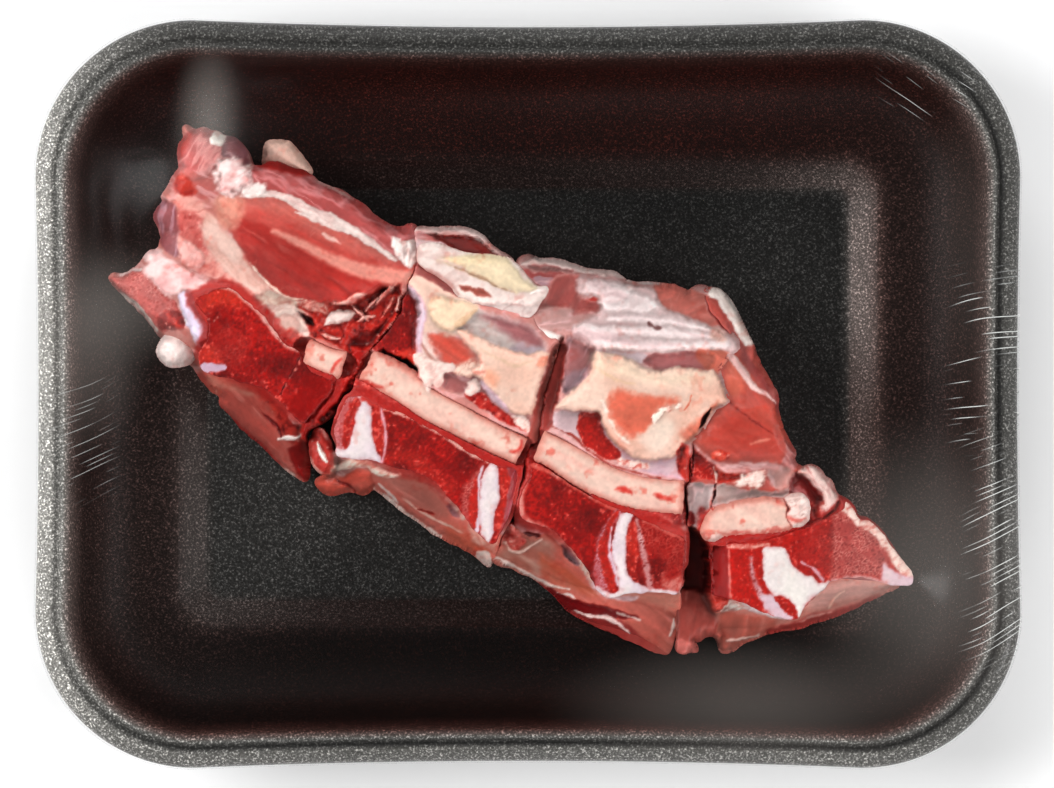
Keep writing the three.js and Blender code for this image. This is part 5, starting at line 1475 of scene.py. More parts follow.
def piece_3():
    r = Relief(OUTLINE_3, 3, look=membrane(rgb(200, 146, 140), 0))
    r.join(JOIN_34, 0.7)
    r.join(JOIN_23, 0.7)
    r.join(OPEN_23, 0.2)
    r.join(LOW_23, 0.35)
    r.join(OPEN_34, 0.5)
    # Flank.
    r.area("-4,-30.6 1,-30.4 5,-31.4 8,-34 11,-38 13.4,-42 16,-45.4 22,-46 35,-46 35,-52 33,-61 28,-61"
           " 20,-58 12,-54 5,-47.4 -1,-43.6 -9,-38.6 -6,-34", muscle(rgb(202, 110, 96), -38, 0.1, 0.4))
    r.area("-7,-37.6 -3.6,-34 3,-33 6,-36 4,-41 0,-42 -4,-40.4",
           fat(rgb(206, 156, 140), rgb(192, 110, 94), 2.4, 0.2, -30), soft=1.2)
    r.area("3,-36.6 7,-39 12,-42.4 16,-46.6 10,-45.4 4.6,-43 3,-40",
           muscle(rgb(196, 98, 70), -35, 0.12, 0.6), soft=1, amount=0.8)
    r.line("4.6,-30.6,1.4 8.2,-33.8,2 11.6,-38,1.4 14.6,-42.6,0.8",
           fat(rgb(232, 200, 186), rgb(206, 140, 126), 1, 0.3), rise=0.5)
    r.area("7.6,-34.2 9.4,-35 12,-38.6 10.8,-39.2 8.4,-37", plain(rgb(138, 98, 102)), soft=0.25, rise=-1.2)
    r.area("-1.8,-28.6 2,-29.2 5,-30.6 3,-31.8 -0.6,-31.6 -2.6,-30", membrane(rgb(206, 130, 128), -20))
    r.area("-1,-31.6 1.6,-32.6 2.8,-31.9 1,-31.2", plain(rgb(104, 20, 18)), soft=0.2, rise=-1)
    r.area("-4.9,-33.2 -4.7,-31.8 -3.7,-30 -2.6,-31 -1.2,-32.4 -0.4,-34 -2,-35.6 -4,-35.7",
           raw(rgb(212, 104, 94), rgb(184, 50, 44), rgb(236, 170, 160), 0.4, 1.2), soft=0.25, rise=0.8)
    r.line("-4.8,-34,0.4 -3.8,-35.9,0.7 -1.4,-36.2,0.6 1,-34.6,0.5 3.2,-33,0.3", plain(rgb(232, 186, 172)),
           rise=0.3)
    r.line("-7,-37.7,0.6 -3,-40,0.8 1,-42.1,0.8 5,-44.2,0.5 9.6,-45.2,0.3", plain(rgb(236, 206, 196)),
           rise=0.2)
    r.area("2.6,-43.8 8,-46.4 14,-48.2 20,-49.8 26,-51.8 20,-52 13,-51.8 8,-50.2 4.6,-46.8",
           plain(rgb(122, 16, 20), 0.12), soft=0.35, rise=-0.8)
    r.area("8,-49.8 12,-50.8 20,-51.8 25.6,-55.6 28,-59.6 20,-57 12,-53.4", muscle(rgb(160, 52, 50), -30),
           soft=0.4)
    r.line("10.6,-50.2,0.3 14,-51.4,0.8 18,-51.8,0.9 21,-53.4,0.9 24,-55.9,0.4", plain(rgb(232, 196, 190)),
           soft=0.2, rise=0.4)
    r.line("7,-46,0.2 9.6,-46.6,0.5 11,-47.2,0.2", plain(rgb(240, 214, 208)))
    r.line("20.6,-50.8,0.3 23,-51.4,0.6 26,-52.2,0.3", plain(rgb(240, 200, 190)))
    r.area("15.6,-45.8 22,-46.6 28,-48 34,-49.6 34.4,-45.6 26,-45.8", muscle(rgb(212, 140, 122), -10),
           soft=0.9, amount=0.9)
    r.area("20,-46.2 25,-46.4 24,-47.6 19,-47.4 16,-45.8 14.6,-43.4 16,-43",
           fat(rgb(224, 186, 190), rgb(206, 150, 150), 1.4), soft=0.5)
    r.line("33.7,-51.8,0.3 33.5,-54,0.7 32.8,-56.2,0.3", plain(rgb(240, 214, 206)), rise=0.2)
    # Upper edge: lips of cut muscle.
    r.area("-1.5,29.2 -0.5,30.4 1.2,31 4,31.2 7.5,30.6 11,29.5 14,28.5 17,28.6 20,28 24,26 18,27 13,27.4"
           " 9,27.8 5,28.4 2,28.6", fat(rgb(208, 182, 176), rgb(176, 130, 124), 2, 0.2, -10), soft=0.25,
           rise=0.8)
    r.area("0.4,29.2 4,29.6 8,28.8 10.6,27.8 5,27.9 1,28.3", muscle(rgb(166, 108, 104), 0), rise=-0.8)
    r.area("-0.9,28.2 1.6,27.6 5,28 8,27.4 5.6,26.6 2,25.9 0.4,26.6", muscle(rgb(172, 84, 82), 0))
    r.area("1,26.2 3,26.9 5.8,26.4 4.8,24.6 2.8,24.8", membrane(rgb(188, 142, 150), 0))
    r.area("4.6,25 6.4,26.7 8.6,27.5 10.8,27.2 11.6,25 11.6,23 12.6,21.8 14.6,21.6 16.6,20.6 16.7,18.8"
           " 13,18.4 10.2,18.2 9.6,19.6 6,19.4 3,20 4.2,22.6", muscle(rgb(182, 90, 84), 60, 0.12, 0.4),
           soft=1.0, rise=-0.4, fray=0.9)
    r.area("13.8,21.4 15,22.2 16,21.6 15,20.9", raw(rgb(206, 60, 48)), soft=0.2)
    r.area("1.6,17 3.4,19.4 6,19.7 9.6,19.5 10.2,17.6 9.6,15.6 7,14.2 4.6,14.2 2.4,15.2",
           membrane(rgb(192, 144, 138), 10), soft=1.1, fray=1.2)
    r.line("4.4,20,0.3 7,19.6,0.5 9.4,19.4,0.2", plain(rgb(214, 168, 162)), soft=0.5, amount=0.6)
    r.area("2.4,14.9 4,14.4 6.4,13.8 7.9,12.6 7,11.2 4,12.8", WHITE_FAT, soft=0.25, rise=0.4)
    r.line("23,26.2,0.5 28,25.4,0.8 33,25.2,0.6", plain(rgb(206, 184, 180)))
    r.area("28.6,24.4 31,25.3 33.6,25.7 36,24.4 39,23.6 40.9,22.6 41,20.6 42,17.8 43.8,16 42,15.4 39,16.8"
           " 36,18 33.6,18.6 31.6,19 30,21", muscle(rgb(196, 112, 100), 20, 0.14, 0.5), soft=0.5)
    r.area("40.6,22 42,22 43.2,21.4 44.8,18 46.6,14.2 45.4,13.8 43.4,16 41.9,18.6",
           muscle(rgb(160, 50, 46), -60), rise=-0.7)
    # Fat along the back, in soft ridges.
    r.area("11,24 11.4,26.2 12.6,26.9 16,26.4 19,26.1 24,25.1 28.8,24.2 29.6,21.4 31.4,19.2 33.4,18.4"
           " 36,17.6 39.4,16 42.6,14.6 44.6,13.6 46.8,12.6 47.5,10.4 46,8.8 44,9.8 41,10.2 36,9.8 30,9.6"
           " 24,9.6 18,9.7 15.2,9.7 12.4,12 10,13.8 11.4,15.6 13.2,16.9 15.6,18 16.8,20 16.2,21.9"
           " 14.4,22.6 12.2,22.4", fat(rgb(222, 190, 188), rgb(206, 164, 162), 3, 0.2, 0), soft=0.6,
           rise=0.7)
    r.area("16,21 18,24.6 22,24 27,22.6 30,20 27,18 22,18.6 17.6,19",
           fat(rgb(240, 222, 220), rgb(220, 188, 186), 3, 0.2), soft=0.8, rise=0.6)
    for fold in ("19,18 26,18.3 33,17.6 40,15.4 42,14.4 38,14.6 30,15.6 22,16.2 18,16.6",
                 "10,14.9 12.8,16.2 16.6,15.5 22.2,15.2 21.6,13 16.6,10.5 14.1,11.8 11,12.4",
                 "21.9,14.9 27.8,15.5 34.1,15.2 39.7,14.3 42.2,12.7 37.2,12.4 29.1,12.7 22.8,13",
                 "17.2,12.4 25,12.6 33,12.4 37,11.4 36,9.9 28,9.6 20,9.8 17,10.6",
                 "12.4,24.6 14,26 19.5,25.4 24,24.4 22,21 18,20.6 15,22.2 13,23",
                 "37.4,12.2 42,12.4 45.4,12.4 45.6,10.4 42,9.8 38,10"):
        r.area(fold, fat(rgb(238, 218, 216), rgb(218, 184, 184), 3, 0.2, -8), soft=0.7, rise=0.35, edge=1.3,
               dome=0.3, width=2, fray=0.35)
    r.area("27.4,15.9 28.6,15.7 30.2,14.9 29.6,14.3 28.4,14.6", plain(rgb(150, 96, 94)), rise=-0.5)
    r.area("10.2,14 12.4,13.4 15.4,10.4 15,9.7 12.4,11.8 10,13", plain(rgb(186, 150, 150)), soft=0.4)
    r.area("42,15 45,13.6 44.4,11.4 41.4,12.6", fat(rgb(238, 190, 174), rgb(206, 130, 116), 1), soft=0.6,
           amount=0.8)
    # Strip between the fat and the arch.
    r.area("14,9.7 18,9.6 23,9.2 26.4,9 28,7 25,7.4 21,7.8 16,8.6", plain(rgb(210, 186, 190), 0.06), soft=0.4)
    r.area("25.6,7.8 27.6,8.9 30,9.2 34,9.4 38,9.8 40.4,9.8 42.6,8.6 41.8,5.8 38,5.4 35,5.8 32,5.2"
           " 29.4,4.9 27.4,6", muscle(rgb(178, 104, 104), 5, 0.1, 0.3), soft=0.35, rise=-0.8)
    r.area("38,9.9 42,10 45.4,9.2 44,6.4 42.6,4.8 41.6,5.4 39.4,6.2", muscle(rgb(208, 112, 90), -30),
           soft=0.6)
    r.area("7.8,10.6 9,12.8 11,12.2 13,11 15.2,9.8 14.6,7.4 13.6,5 11,1.8 8.6,0.2 7.4,2 7.9,6",
           membrane(rgb(190, 126, 126), 60, rgb(200, 170, 178)), soft=0.4, z=33)
    r.area("8,4 10,5 12.6,5.4 13,4 10.6,1.6 8.4,0.6", plain(rgb(190, 158, 168)), soft=0.9, amount=0.8)
    # Arch.
    r.area("15,9.3 18,8.9 22,8.3 25,6.8 28,5.5 31,5.5 34,6.2 38,5.7 41.4,5.3 42.8,4.2 43.8,1.6 44.4,-0.2"
           " 44.8,-2 42,-3 40.8,-5 38.8,-7.8 36.4,-9.8 35,-11.4 33.4,-13.4 30,-14.8 26,-14.9 23,-13.6"
           " 19.6,-11.2 17.4,-8.2 16,-5.2 14,-4 10,-3.8 6.6,-3.4 5.4,-3.8 7,-1.8 9.2,0.5 11.6,2.2 13.6,4.4"
           " 14.4,6.8", arch(), rise=0.8, dome=1.2)
    r.area("15,8.4 22,7.4 28,4.6 38,4.6 41,3.4 34,2 24,3.4 16,5.4",
           arch(rgb(232, 203, 178), rgb(228, 192, 166)), soft=2.0)
    r.area("18,-2 19.2,0.4 22.4,0.6 26,-0.3 30,-0.3 33.4,-0.9 34,-2 31,-3 29,-4.4 27.6,-7.2 26.4,-9.2"
           " 24,-9.6 21.4,-8.8 19.2,-6 18.2,-4", plain(rgb(220, 116, 90), 0.08), soft=1.2, fray=1.0,
           amount=0.95)
    r.area("25,-10.4 27,-12.4 30.4,-12 33,-9 31.4,-5.6 28.4,-6.4",
           arch(rgb(240, 218, 200), rgb(234, 196, 180)), soft=0.9)
    r.line("28,-6.4,0.7 29,-4.6,1.0 31.2,-3.4,0.8 34,-2.6,0.4", plain(rgb(242, 214, 200)), soft=0.2,
           rise=0.5, fray=1.1)
    r.line("16.6,-2,0.3 18.4,-6,0.4 20.6,-9.6,0.5 23.4,-11.6,0.3", plain(rgb(238, 212, 198)), rise=0.2,
           soft=0.4, fray=0.8)
    r.line("14.6,6,0.3 20,3,0.5 24,2.4,0.3", plain(rgb(228, 190, 150)), soft=0.5, amount=0.6)
    r.line("35,-3.4,0.3 35.8,-2.2,0.4 36.4,-0.4,0.2", plain(rgb(206, 110, 84)), soft=0.2)
    r.area("35.4,-10.6 38.4,-8.6 40.4,-5.2 42.4,-3 42,-2 38,-5.6 34.4,-8.4",
           muscle(rgb(222, 128, 100), -50), soft=1.0)
    # A slit, painted near black as the shade inside it.
    r.line("38.6,-7.4,0.3 39.4,-5.9,1.1 40.3,-4.4,0.8 41.1,-3.2,0.3", plain(rgb(60, 12, 10)), soft=0.15,
           rise=-1.5, fray=0.1)
    # Sawn strip beside the cord.
    r.area("5.2,-4.2 9,-4 12,-4.6 12,-9.4 9,-9 6.4,-7.6 5.2,-6", plain(rgb(216, 184, 188), 0.06), z=33)
    r.area("15.6,-5 17.4,-8.4 19.6,-11.4 22.4,-13.8 26,-15 30,-15 33.4,-13.6 34.8,-12 35.6,-15 35.8,-18.8"
           " 32,-18.8 28,-18 24,-16.8 20.6,-14.6 17.8,-10.6", disc(rgb(222, 186, 192), rgb(206, 168, 184)),
           z=33)
    r.area("19.8,-14.2 22,-14.6 25,-14.9 27.4,-15.6 27,-17 24,-16.8 21,-15.8",
           fat(rgb(240, 206, 196), rgb(214, 110, 98), 0.9), rise=0.4)
    r.area("11.4,-4.9 14,-4.2 15.9,-4.5 16.2,-6.4 17.2,-8.6 19,-11.2 21,-13.8 19.4,-14.8 17,-14.4"
           " 14.2,-12.4 11.6,-9.8", marrow(rgb(184, 34, 26), rgb(140, 16, 14), 0.2), soft=0.25, z=33)
    r.area("34.2,-11 35.9,-11.6 36.1,-16 36,-19.8 34.4,-18.4 33.4,-14.6", raw(rgb(204, 66, 56), relief=0.25))
    r.line("5,-7.2,0.3 10,-9.6,0.5 14,-13,0.4 18,-15.6,0.4 24,-17.6,0.5 30,-19,0.4",
           plain(rgb(150, 60, 52)), soft=0.2)
    r.area("0.6,-13.4 1.7,-11.4 2.9,-10.2 4.4,-8 5.5,-6.2 5.5,-4.6 6.4,-2.4 7.2,0.6 7.9,4 8.4,8 8.6,10.4"
           " 7.4,12.6 6,9 4.4,3 3,-4 1,-11", plain(rgb(162, 66, 60), 0.16), soft=0.35, z=32)
    groove(CORD_3, 29.6, 3.6)(r)
    r.area("0.6,-14 3,-15.4 8,-18.4 14,-21.8 13.4,-23 7,-19.6 2,-16.4 0.4,-15.6",
           raw(rgb(176, 34, 28), relief=0.15), soft=0.4, z=31.6)
    r.round_edge(3.2, 3.6, (SEAM_23, SEAM_34))
    return r


def face_3():
    r = Relief(FACE_3, 13, ragged=0.2, look=MARROW, level=SAW_CUT)
    r.area("1,-17 8,-20 14,-24 18,-27 14,-31 8,-28 2,-22", marrow(rgb(140, 16, 12), rgb(108, 8, 8), 0.08),
           soft=2.4, amount=0.75)
    r.line("0.6,-16,0.6 5,-17.8,0.7 11,-21.4,0.6 17,-24.8,0.7 20,-26,0.6",
           raw(rgb(214, 96, 84), rgb(196, 50, 42), rgb(238, 180, 168), 0.2), soft=0.3, rise=0.2)
    r.line("-0.2,-19.6,1 -1.6,-22.4,1.7 -1.8,-26.4,1.9 0.4,-28.8,1.5 4,-30,1.0 8,-33.6,0.6",
           fat(rgb(220, 140, 130), rgb(200, 80, 74), 1.2), soft=0.5)
    r.area("24,-29 30,-30 35.2,-33 35,-40 34,-45 28,-44 25.6,-40 25,-34",
           spongy(rgb(174, 36, 30), rgb(220, 120, 108), rgb(140, 14, 12)), soft=0.8, amount=0.75)
    r.area("27,-36 29.6,-36.4 31,-39.6 29,-42.6 27.2,-40.4", marrow(rgb(132, 14, 12)), soft=0.9)
    r.area("30,-41 32,-42 34.6,-41 34.4,-45 31,-44.6", fat(rgb(226, 160, 150), rgb(196, 80, 70), 0.8),
           soft=0.8, amount=0.7)
    r.area("15.6,-44.4 14.8,-40 15.2,-36 15.8,-32 18,-28.4 20,-26.2 21.6,-26.4 19,-30 17.8,-35 17.4,-40"
           " 18.4,-44.8", spongy(rgb(190, 92, 98), rgb(216, 160, 176), rgb(176, 50, 50)), soft=0.5)
    r.area("20.8,-26.4 19.5,-26.9 17,-31 15.9,-34 16.5,-39 17.5,-42.6 18.8,-44.1 20,-43.4 20.2,-41.6"
           " 18.8,-38 17.9,-35.4 18.7,-31", marrow(rgb(200, 42, 30), rgb(176, 26, 20), 0.1), soft=0.25,
           rise=-0.2)
    r.line("18.9,-30,0.5 18.2,-35,0.7 19.4,-39,0.7 20.4,-43,0.6", plain(rgb(226, 190, 204)), soft=0.3)
    r.area("22.6,-26.4 21,-27.3 19.7,-30 19.1,-33 18.5,-35.6 19.5,-38.6 20.3,-41.6 20.5,-44 18,-44.6"
           " 15.6,-43 15.4,-44.6 18.6,-46 24,-45.2 27,-44.8 33.6,-45.6 33.6,-44.6 28,-43.8 25,-42.8"
           " 22.6,-40.6 22.1,-37.6 22.1,-34 22.6,-30.4 23.6,-27.6", disc(), soft=0.25, rise=0.3, dome=0.1,
           width=2)
    r.area("23.8,-28.2 22.6,-30 22.1,-33.6 22.5,-35 22.4,-37.6 22.7,-39.8 23.8,-42.2 25.2,-42 24.6,-39"
           " 24.9,-36 24.4,-34.6 24.8,-30", marrow(rgb(204, 48, 34), speck=0.25), soft=0.25)
    r.line("24.6,-28.4,0.7 25.4,-32,1.1 26,-36,1.3 26.8,-40,1.3 27.4,-43.6,1.1",
           spongy(rgb(222, 150, 150), rgb(236, 190, 190)), soft=0.4)
    r.line("26,-28.8,0.4 30,-30.4,0.6 34.8,-32.8,0.6", plain(rgb(206, 96, 86)), soft=0.3)
    return r


OUTLINE_4 = """41.3,23.5 42.6,23.7 44.5,23.1 46.4,22.1 47.6,20.3 48.4,17.1 49.1,13.9 50.5,11.1 52.1,8.3
 53.5,5.3 55.3,2.3 56.5,0 56.7,-3.4 57.5,-6.8 58.9,-10.4 60.3,-13.2 59.7,-14.4 60.7,-15.6 62,-16.6
 63.4,-16.1 65.4,-16.6 67,-18 68.6,-19.6 69.4,-21.6 70.2,-22.9 72,-23.8 73.8,-25.6 74.9,-27.7 76.6,-28.1
 79,-30 80.6,-31.8 82.7,-34.2 84.7,-36.8 86.4,-39.4 87.1,-41 86.9,-43.2 85,-45 83,-45.8 81,-46.8 79,-48.2
 76,-49.7 73,-50.9 69,-52.1 65,-53.5 61,-54.7 57,-55.1 53,-56.5 49.4,-58.1 47.4,-59.6 45.6,-60.2
 44.6,-59.5 44,-58 42.8,-56 41,-55.8 39,-57.1 38,-57 39.4,-59.5 37,-59 34.7,-58.4 34.9,-54 35.4,-49
 35.6,-46.4 36.1,-42 36.3,-38 36.3,-33 36,-30 36.2,-26.6 36,-24 35.9,-20.7 36.6,-19.9 36.7,-15 36.7,-11.6
 39.6,-8.6 41.4,-5.2 42.6,-3.8 45.2,-2.4 44.8,0.4 44.2,2.8 43.6,5.2 46.2,8.8 48.2,10.6 47.6,13 45.2,16
 42.8,19.2 41.8,21.8"""
FACE_4 = """41.4,-34.2 43,-33.9 47,-33.7 52,-33.4 56,-32.4 60,-30.8 63.6,-29.8 66.4,-28.6 69,-27.2
 71,-25.9 71.6,-24.3 73.4,-26 74.7,-28.2 76.7,-28.6 79.2,-30.6 81.6,-33.6 84,-36.8 86.1,-39.6 86.6,-41.4
 86.2,-43 84,-43.4 81,-42.8 78,-41.8 74,-41.2 70.4,-41.6 67.6,-42.4 66.4,-44 64,-46.2 62,-48.6 60.6,-50.6
 58,-50.6 55,-49.8 52,-48.8 48.6,-47.2 46,-46.6 43.4,-46 41.6,-45 41.3,-40"""
CORD_4 = """38.7,-30.6 39.6,-27.9 41.2,-26 43.4,-24.8 45.9,-24.2 48.6,-23.6 51.1,-23.3 54.4,-23.2 57,-23.7
 59,-22.6 61.2,-22.2 62.6,-22.9 63.5,-24.6 63.5,-27 63.2,-28.9 61.4,-30 59.9,-30.3 58,-31.2 54.6,-32
 51.1,-32.4 48.4,-32.2 45.9,-32.5 43.6,-32.4 41.8,-33.3 40,-32.9 39,-31.8"""


def piece_4():
    r = Relief(OUTLINE_4, 4, look=muscle(rgb(176, 82, 72), -40))
    r.join(JOIN_34, 0.9)
    r.join(OPEN_34, 0.6)
    # Back muscle.
    r.area("37,-10.6 42,-5.4 43.4,-3.6 46,-2 45,1 44.2,4.6 46.4,8.8 48,8 51,3.6 54,-0.4 56.8,-4 57.6,-7.4"
           " 60.4,-13.4 58,-15.8 54,-16 48,-15.4 44,-15 40.6,-13.6 37.2,-11.6",
           muscle(rgb(186, 82, 68), -50, 0.1, 0.35), soft=0.35, dome=1.0)
    r.area("45,-4 50,-6 55,-9 57,-13 52,-15 45,-13.6 41,-10", muscle(rgb(184, 66, 54), -20), soft=2.0,
           amount=0.7)
    r.area("44.4,4.6 46,8 48.4,6 49,2 47,-0.6 45,0.4", muscle(rgb(200, 106, 84), -60), soft=1.2, amount=0.8)
    r.line("45.2,-2,0.3 49,-4.8,0.5 53,-7.8,0.5 56.4,-9.8,0.3", plain(rgb(160, 56, 48)), soft=0.4, rise=-0.3)
    r.line("50,-11.4,0.3 52,-10.6,0.7 54,-10.2,0.3", plain(rgb(228, 140, 120)), soft=0.4)
    r.area("43,21.4 45,18 47,14.4 48.8,11 50.8,7.4 53.6,3.4 56.8,-0.6 56.8,-5 54,-0.2 50.4,4.2 48.2,8"
           " 48.2,10.6 46,14.4", muscle(rgb(152, 66, 62), -62, 0.12, 0.35), soft=0.35)
    r.line("45.6,9,1.4 48.6,5,1.8 51,1.4,1.2 53.4,0.1,0.9 55.8,-2,0.4",
           fat(rgb(226, 188, 182), rgb(206, 150, 146), 1.2, 0.15, -45), soft=0.3, rise=0.4)
    r.area("41.3,22.9 43,24.8 46.6,23.6 48.8,21.4 50,18 50.6,14.6 51.4,11.4 48.8,11.2 47.4,14.6 45.8,17.4"
           " 44.2,20 43.4,21.6 42.2,21.9", fat(rgb(226, 212, 204), rgb(196, 170, 162), 1.6, 0.2, -65),
           soft=0.25, rise=0.5)
    r.area("57,-9 59.4,-12 60.6,-14 60.8,-15.8 59,-17.4 56.8,-16.6 58,-13", membrane(rgb(156, 74, 68), -60),
           soft=0.4)
    r.area("54,-17 58,-16.4 60.8,-18 59.8,-20.4 58.4,-22 55.6,-21", membrane(rgb(200, 146, 138), -50),
           soft=0.4, z=32.4)
    # Torn ends beside the canal.
    r.area("36.4,-11.4 38,-12.8 40,-14.6 41.6,-15.4 42.2,-17.4 41.8,-19.3 38.6,-19 36.8,-19.8",
           marrow(rgb(186, 36, 28), speck=0.3), z=32.6)
    r.line("36.6,-11.6,0.3 37.2,-15,0.4 36.8,-20,0.4", plain(rgb(96, 14, 12)), soft=0.2, rise=-1)
    r.area("42,-16.8 43,-17.8 45.6,-17.9 48.6,-18.2 47,-19.3 43.6,-20 42,-19",
           raw(rgb(208, 58, 44), relief=0.3, size=1.1), z=31.8)
    r.area("37,-11.2 39.6,-13.2 42.4,-15 46,-15.4 50,-15.4 55.6,-15.6 56.4,-17 52,-17.4 48.4,-17.8"
           " 45,-17.8 43,-16.8 41.4,-15.6 39.4,-14.2",
           membrane(rgb(206, 146, 142), -20, rgb(228, 186, 184)), soft=0.5, z=34.2, edge=2)
    r.line("41.7,-16.4,0.4 42.4,-18.4,0.7 42.6,-20,0.4", plain(rgb(236, 196, 186)), rise=0.5)
    r.area("41.2,-13.6 42.6,-12.7 44.6,-12.9 45,-14.4 43.2,-15 41.6,-14.4",
           raw(rgb(214, 84, 62), rgb(190, 44, 34), rgb(244, 190, 176), 0.4, 0.9), rise=0.5)
    r.area("46.4,-19.6 48.6,-18.2 50.6,-17.4 52.4,-17.2 54,-18.4 53.6,-20 51.9,-21.2 50.4,-21.6 49,-20.8"
           " 47.4,-20.6", fat(rgb(238, 216, 206), rgb(214, 160, 150), 1.1, 0.6), soft=0.4, rise=0.9,
           fray=0.9)
    r.area("35.9,-20.2 42.2,-20.4 41.6,-22 41,-25.6 39.6,-27.4 38.4,-30 37,-29.6 36.2,-26.4",
           membrane(rgb(190, 168, 166), 80), z=31)
    r.area("42.6,-20.6 48,-21.2 50,-21.8 52,-21.6 57,-22 58.6,-21 58,-23.4 50,-23.6 44,-24.8 41.6,-25.4",
           membrane(rgb(196, 168, 162), 10), z=31.2)
    r.line("42.4,-20.4,0.4 42.1,-23,0.5 41.2,-25.6,0.4", plain(rgb(96, 20, 20)), soft=0.2, rise=-1)
    r.area("36.2,-26.4 37.2,-27 37.8,-29.4 36.4,-29.4", plain(rgb(110, 14, 14)))
    # Loose tissue at the end of the canal.
    r.area("60,-17.6 62,-18 63.8,-19.4 65.2,-21 66.8,-23.4 65.8,-26 65,-29.4 62,-29.4 59.4,-26 59,-21",
           membrane(rgb(178, 100, 100), -40), z=30.5)
    r.area("60.6,-17.8 62.2,-18.2 63.8,-19.6 65.2,-21.2 66.6,-23.6 65.4,-24.2 64,-23.6 63.2,-22.2"
           " 61.4,-20.8 60,-20.4", muscle(rgb(140, 22, 22), -45), soft=0.25, rise=-0.5)
    r.area("60.8,-17.1 62.6,-16.3 65.3,-16.6 67,-18 68.6,-19.8 69.5,-22 70,-24 68.8,-26.2 67,-28 65,-28"
           " 65.4,-25.6 67,-24.6 66.4,-22.4 64.8,-20.6 63.2,-19 61.4,-18.1",
           fat(rgb(224, 192, 184), rgb(190, 120, 116), 1.1, 0.5, -55), soft=0.25, rise=1.0)
    r.area("63.6,-27.2 66,-27.8 68.4,-26.2 70,-24.6 69,-27.2 66.4,-28.8 64.2,-29.2",
           membrane(rgb(212, 162, 156)), z=31.5)
    r.area("40.6,-33.6 46,-33 52,-32.4 56,-31.4 60,-30.2 63.6,-29.6 67,-28.6 67,-30.4 60,-33 56,-34.8"
           " 46,-35 41,-35", fat(rgb(236, 186, 174), rgb(206, 84, 74), 1.0, 0.3), z=32.6)
    # Flank.
    r.area("42.6,-46 46,-46.6 50,-48 55,-50 60,-51 62.6,-49.4 65,-46 68,-43 74,-41.4 80,-42.4 87.4,-43.6"
           " 87,-45 81,-48 74,-52 66,-55 57,-56.6 50,-59.4 46,-61.6 42,-56",
           muscle(rgb(222, 146, 132), 15, 0.1, 0.35))
    r.area("62,-48.4 65.6,-45.6 69,-43 75,-42 80,-43 84,-44.4 79,-46.6 72,-47.6 66,-49.6",
           muscle(rgb(232, 178, 168), 10, 0.08, 0.3), soft=1.3, amount=0.8)
    r.area("44.4,-50 50,-50.6 57,-52 56,-55.4 50,-58.2 46,-60.4 44.4,-58 43.6,-54",
           muscle(rgb(206, 112, 96), 80, 0.12, 0.45), soft=0.7)
    r.line("56,-55,1.6 62,-53.7,2.4 67,-52.2,2.9 72,-50.8,2.6 77,-49,1.8 81,-47,1.0",
           plain(rgb(176, 58, 54), 0.12), soft=0.8, rise=-0.3, amount=0.85)
    r.line("62,-53,0.2 66,-51.4,0.6 70,-50.2,0.3", plain(rgb(222, 150, 140)))
    r.line("69.4,-49.4,0.5 70.4,-47.2,0.9 72.4,-45.4,0.6", plain(rgb(228, 178, 162)), soft=0.3, rise=0.3)
    r.line("62.8,-47.6,0.4 64.6,-46.4,0.9 66.6,-45.4,0.4", plain(rgb(240, 206, 192)), rise=0.4)
    r.area("63.4,-46.9 64.6,-47.4 65.6,-46.6 64.4,-46.4", plain(rgb(120, 40, 36)), soft=0.15, rise=-0.8)
    r.line("46,-57.2,0.4 50,-56.4,0.8 53.4,-55.7,0.4", plain(rgb(230, 182, 170)), rise=0.3)
    r.line("45.6,-46.9,1 48,-47.8,1.6 51,-48.8,1.2 55,-50.4,1.2 58.4,-51,1.6 61.4,-51,1.6",
           fat(rgb(232, 212, 212), rgb(204, 160, 160), 1.2), soft=0.3, rise=0.5)
    r.area("44,-47 46.4,-46.9 50,-48.4 48.4,-49.6 45.6,-49.8 43.6,-49.4",
           fat(rgb(240, 220, 210), rgb(206, 130, 120), 0.9, 0.5), soft=0.25, rise=0.8)
    r.area("41,-44.8 43,-45.6 45.2,-46.6 44.8,-48.4 43,-49.9 41,-49 41.6,-47",
           raw(rgb(212, 92, 80), relief=0.4, size=1.1), soft=0.25, z=27)
    # The open cut on its left, and the lower meat that still ties this piece to its neighbour.
    r.area("35.4,-31.6 38.4,-31.4 40.8,-34.6 41.2,-40 41,-46.4 38,-47 34.6,-46",
           plain(rgb(84, 18, 16), 0.2), soft=0.5, z=17)
    r.area("34.4,-45.6 38,-45 41,-46.6 42.4,-50 43.6,-52 43.8,-55.6 42,-57 39,-58 39.4,-60 34,-60 34,-52",
           muscle(rgb(150, 70, 62), 80, 0.16, 0.4), soft=0.6, z=18)
    r.area("34.8,-56.4 38.2,-57.6 39.6,-59.6 34.6,-58.8", muscle(rgb(186, 104, 96), 0), soft=0.4)
    groove("44,-28.4 50,-27.6 60,-26.6", 29.0, 3)(r)
    r.round_edge(3.2, 3.6, (SEAM_34,))
    return r


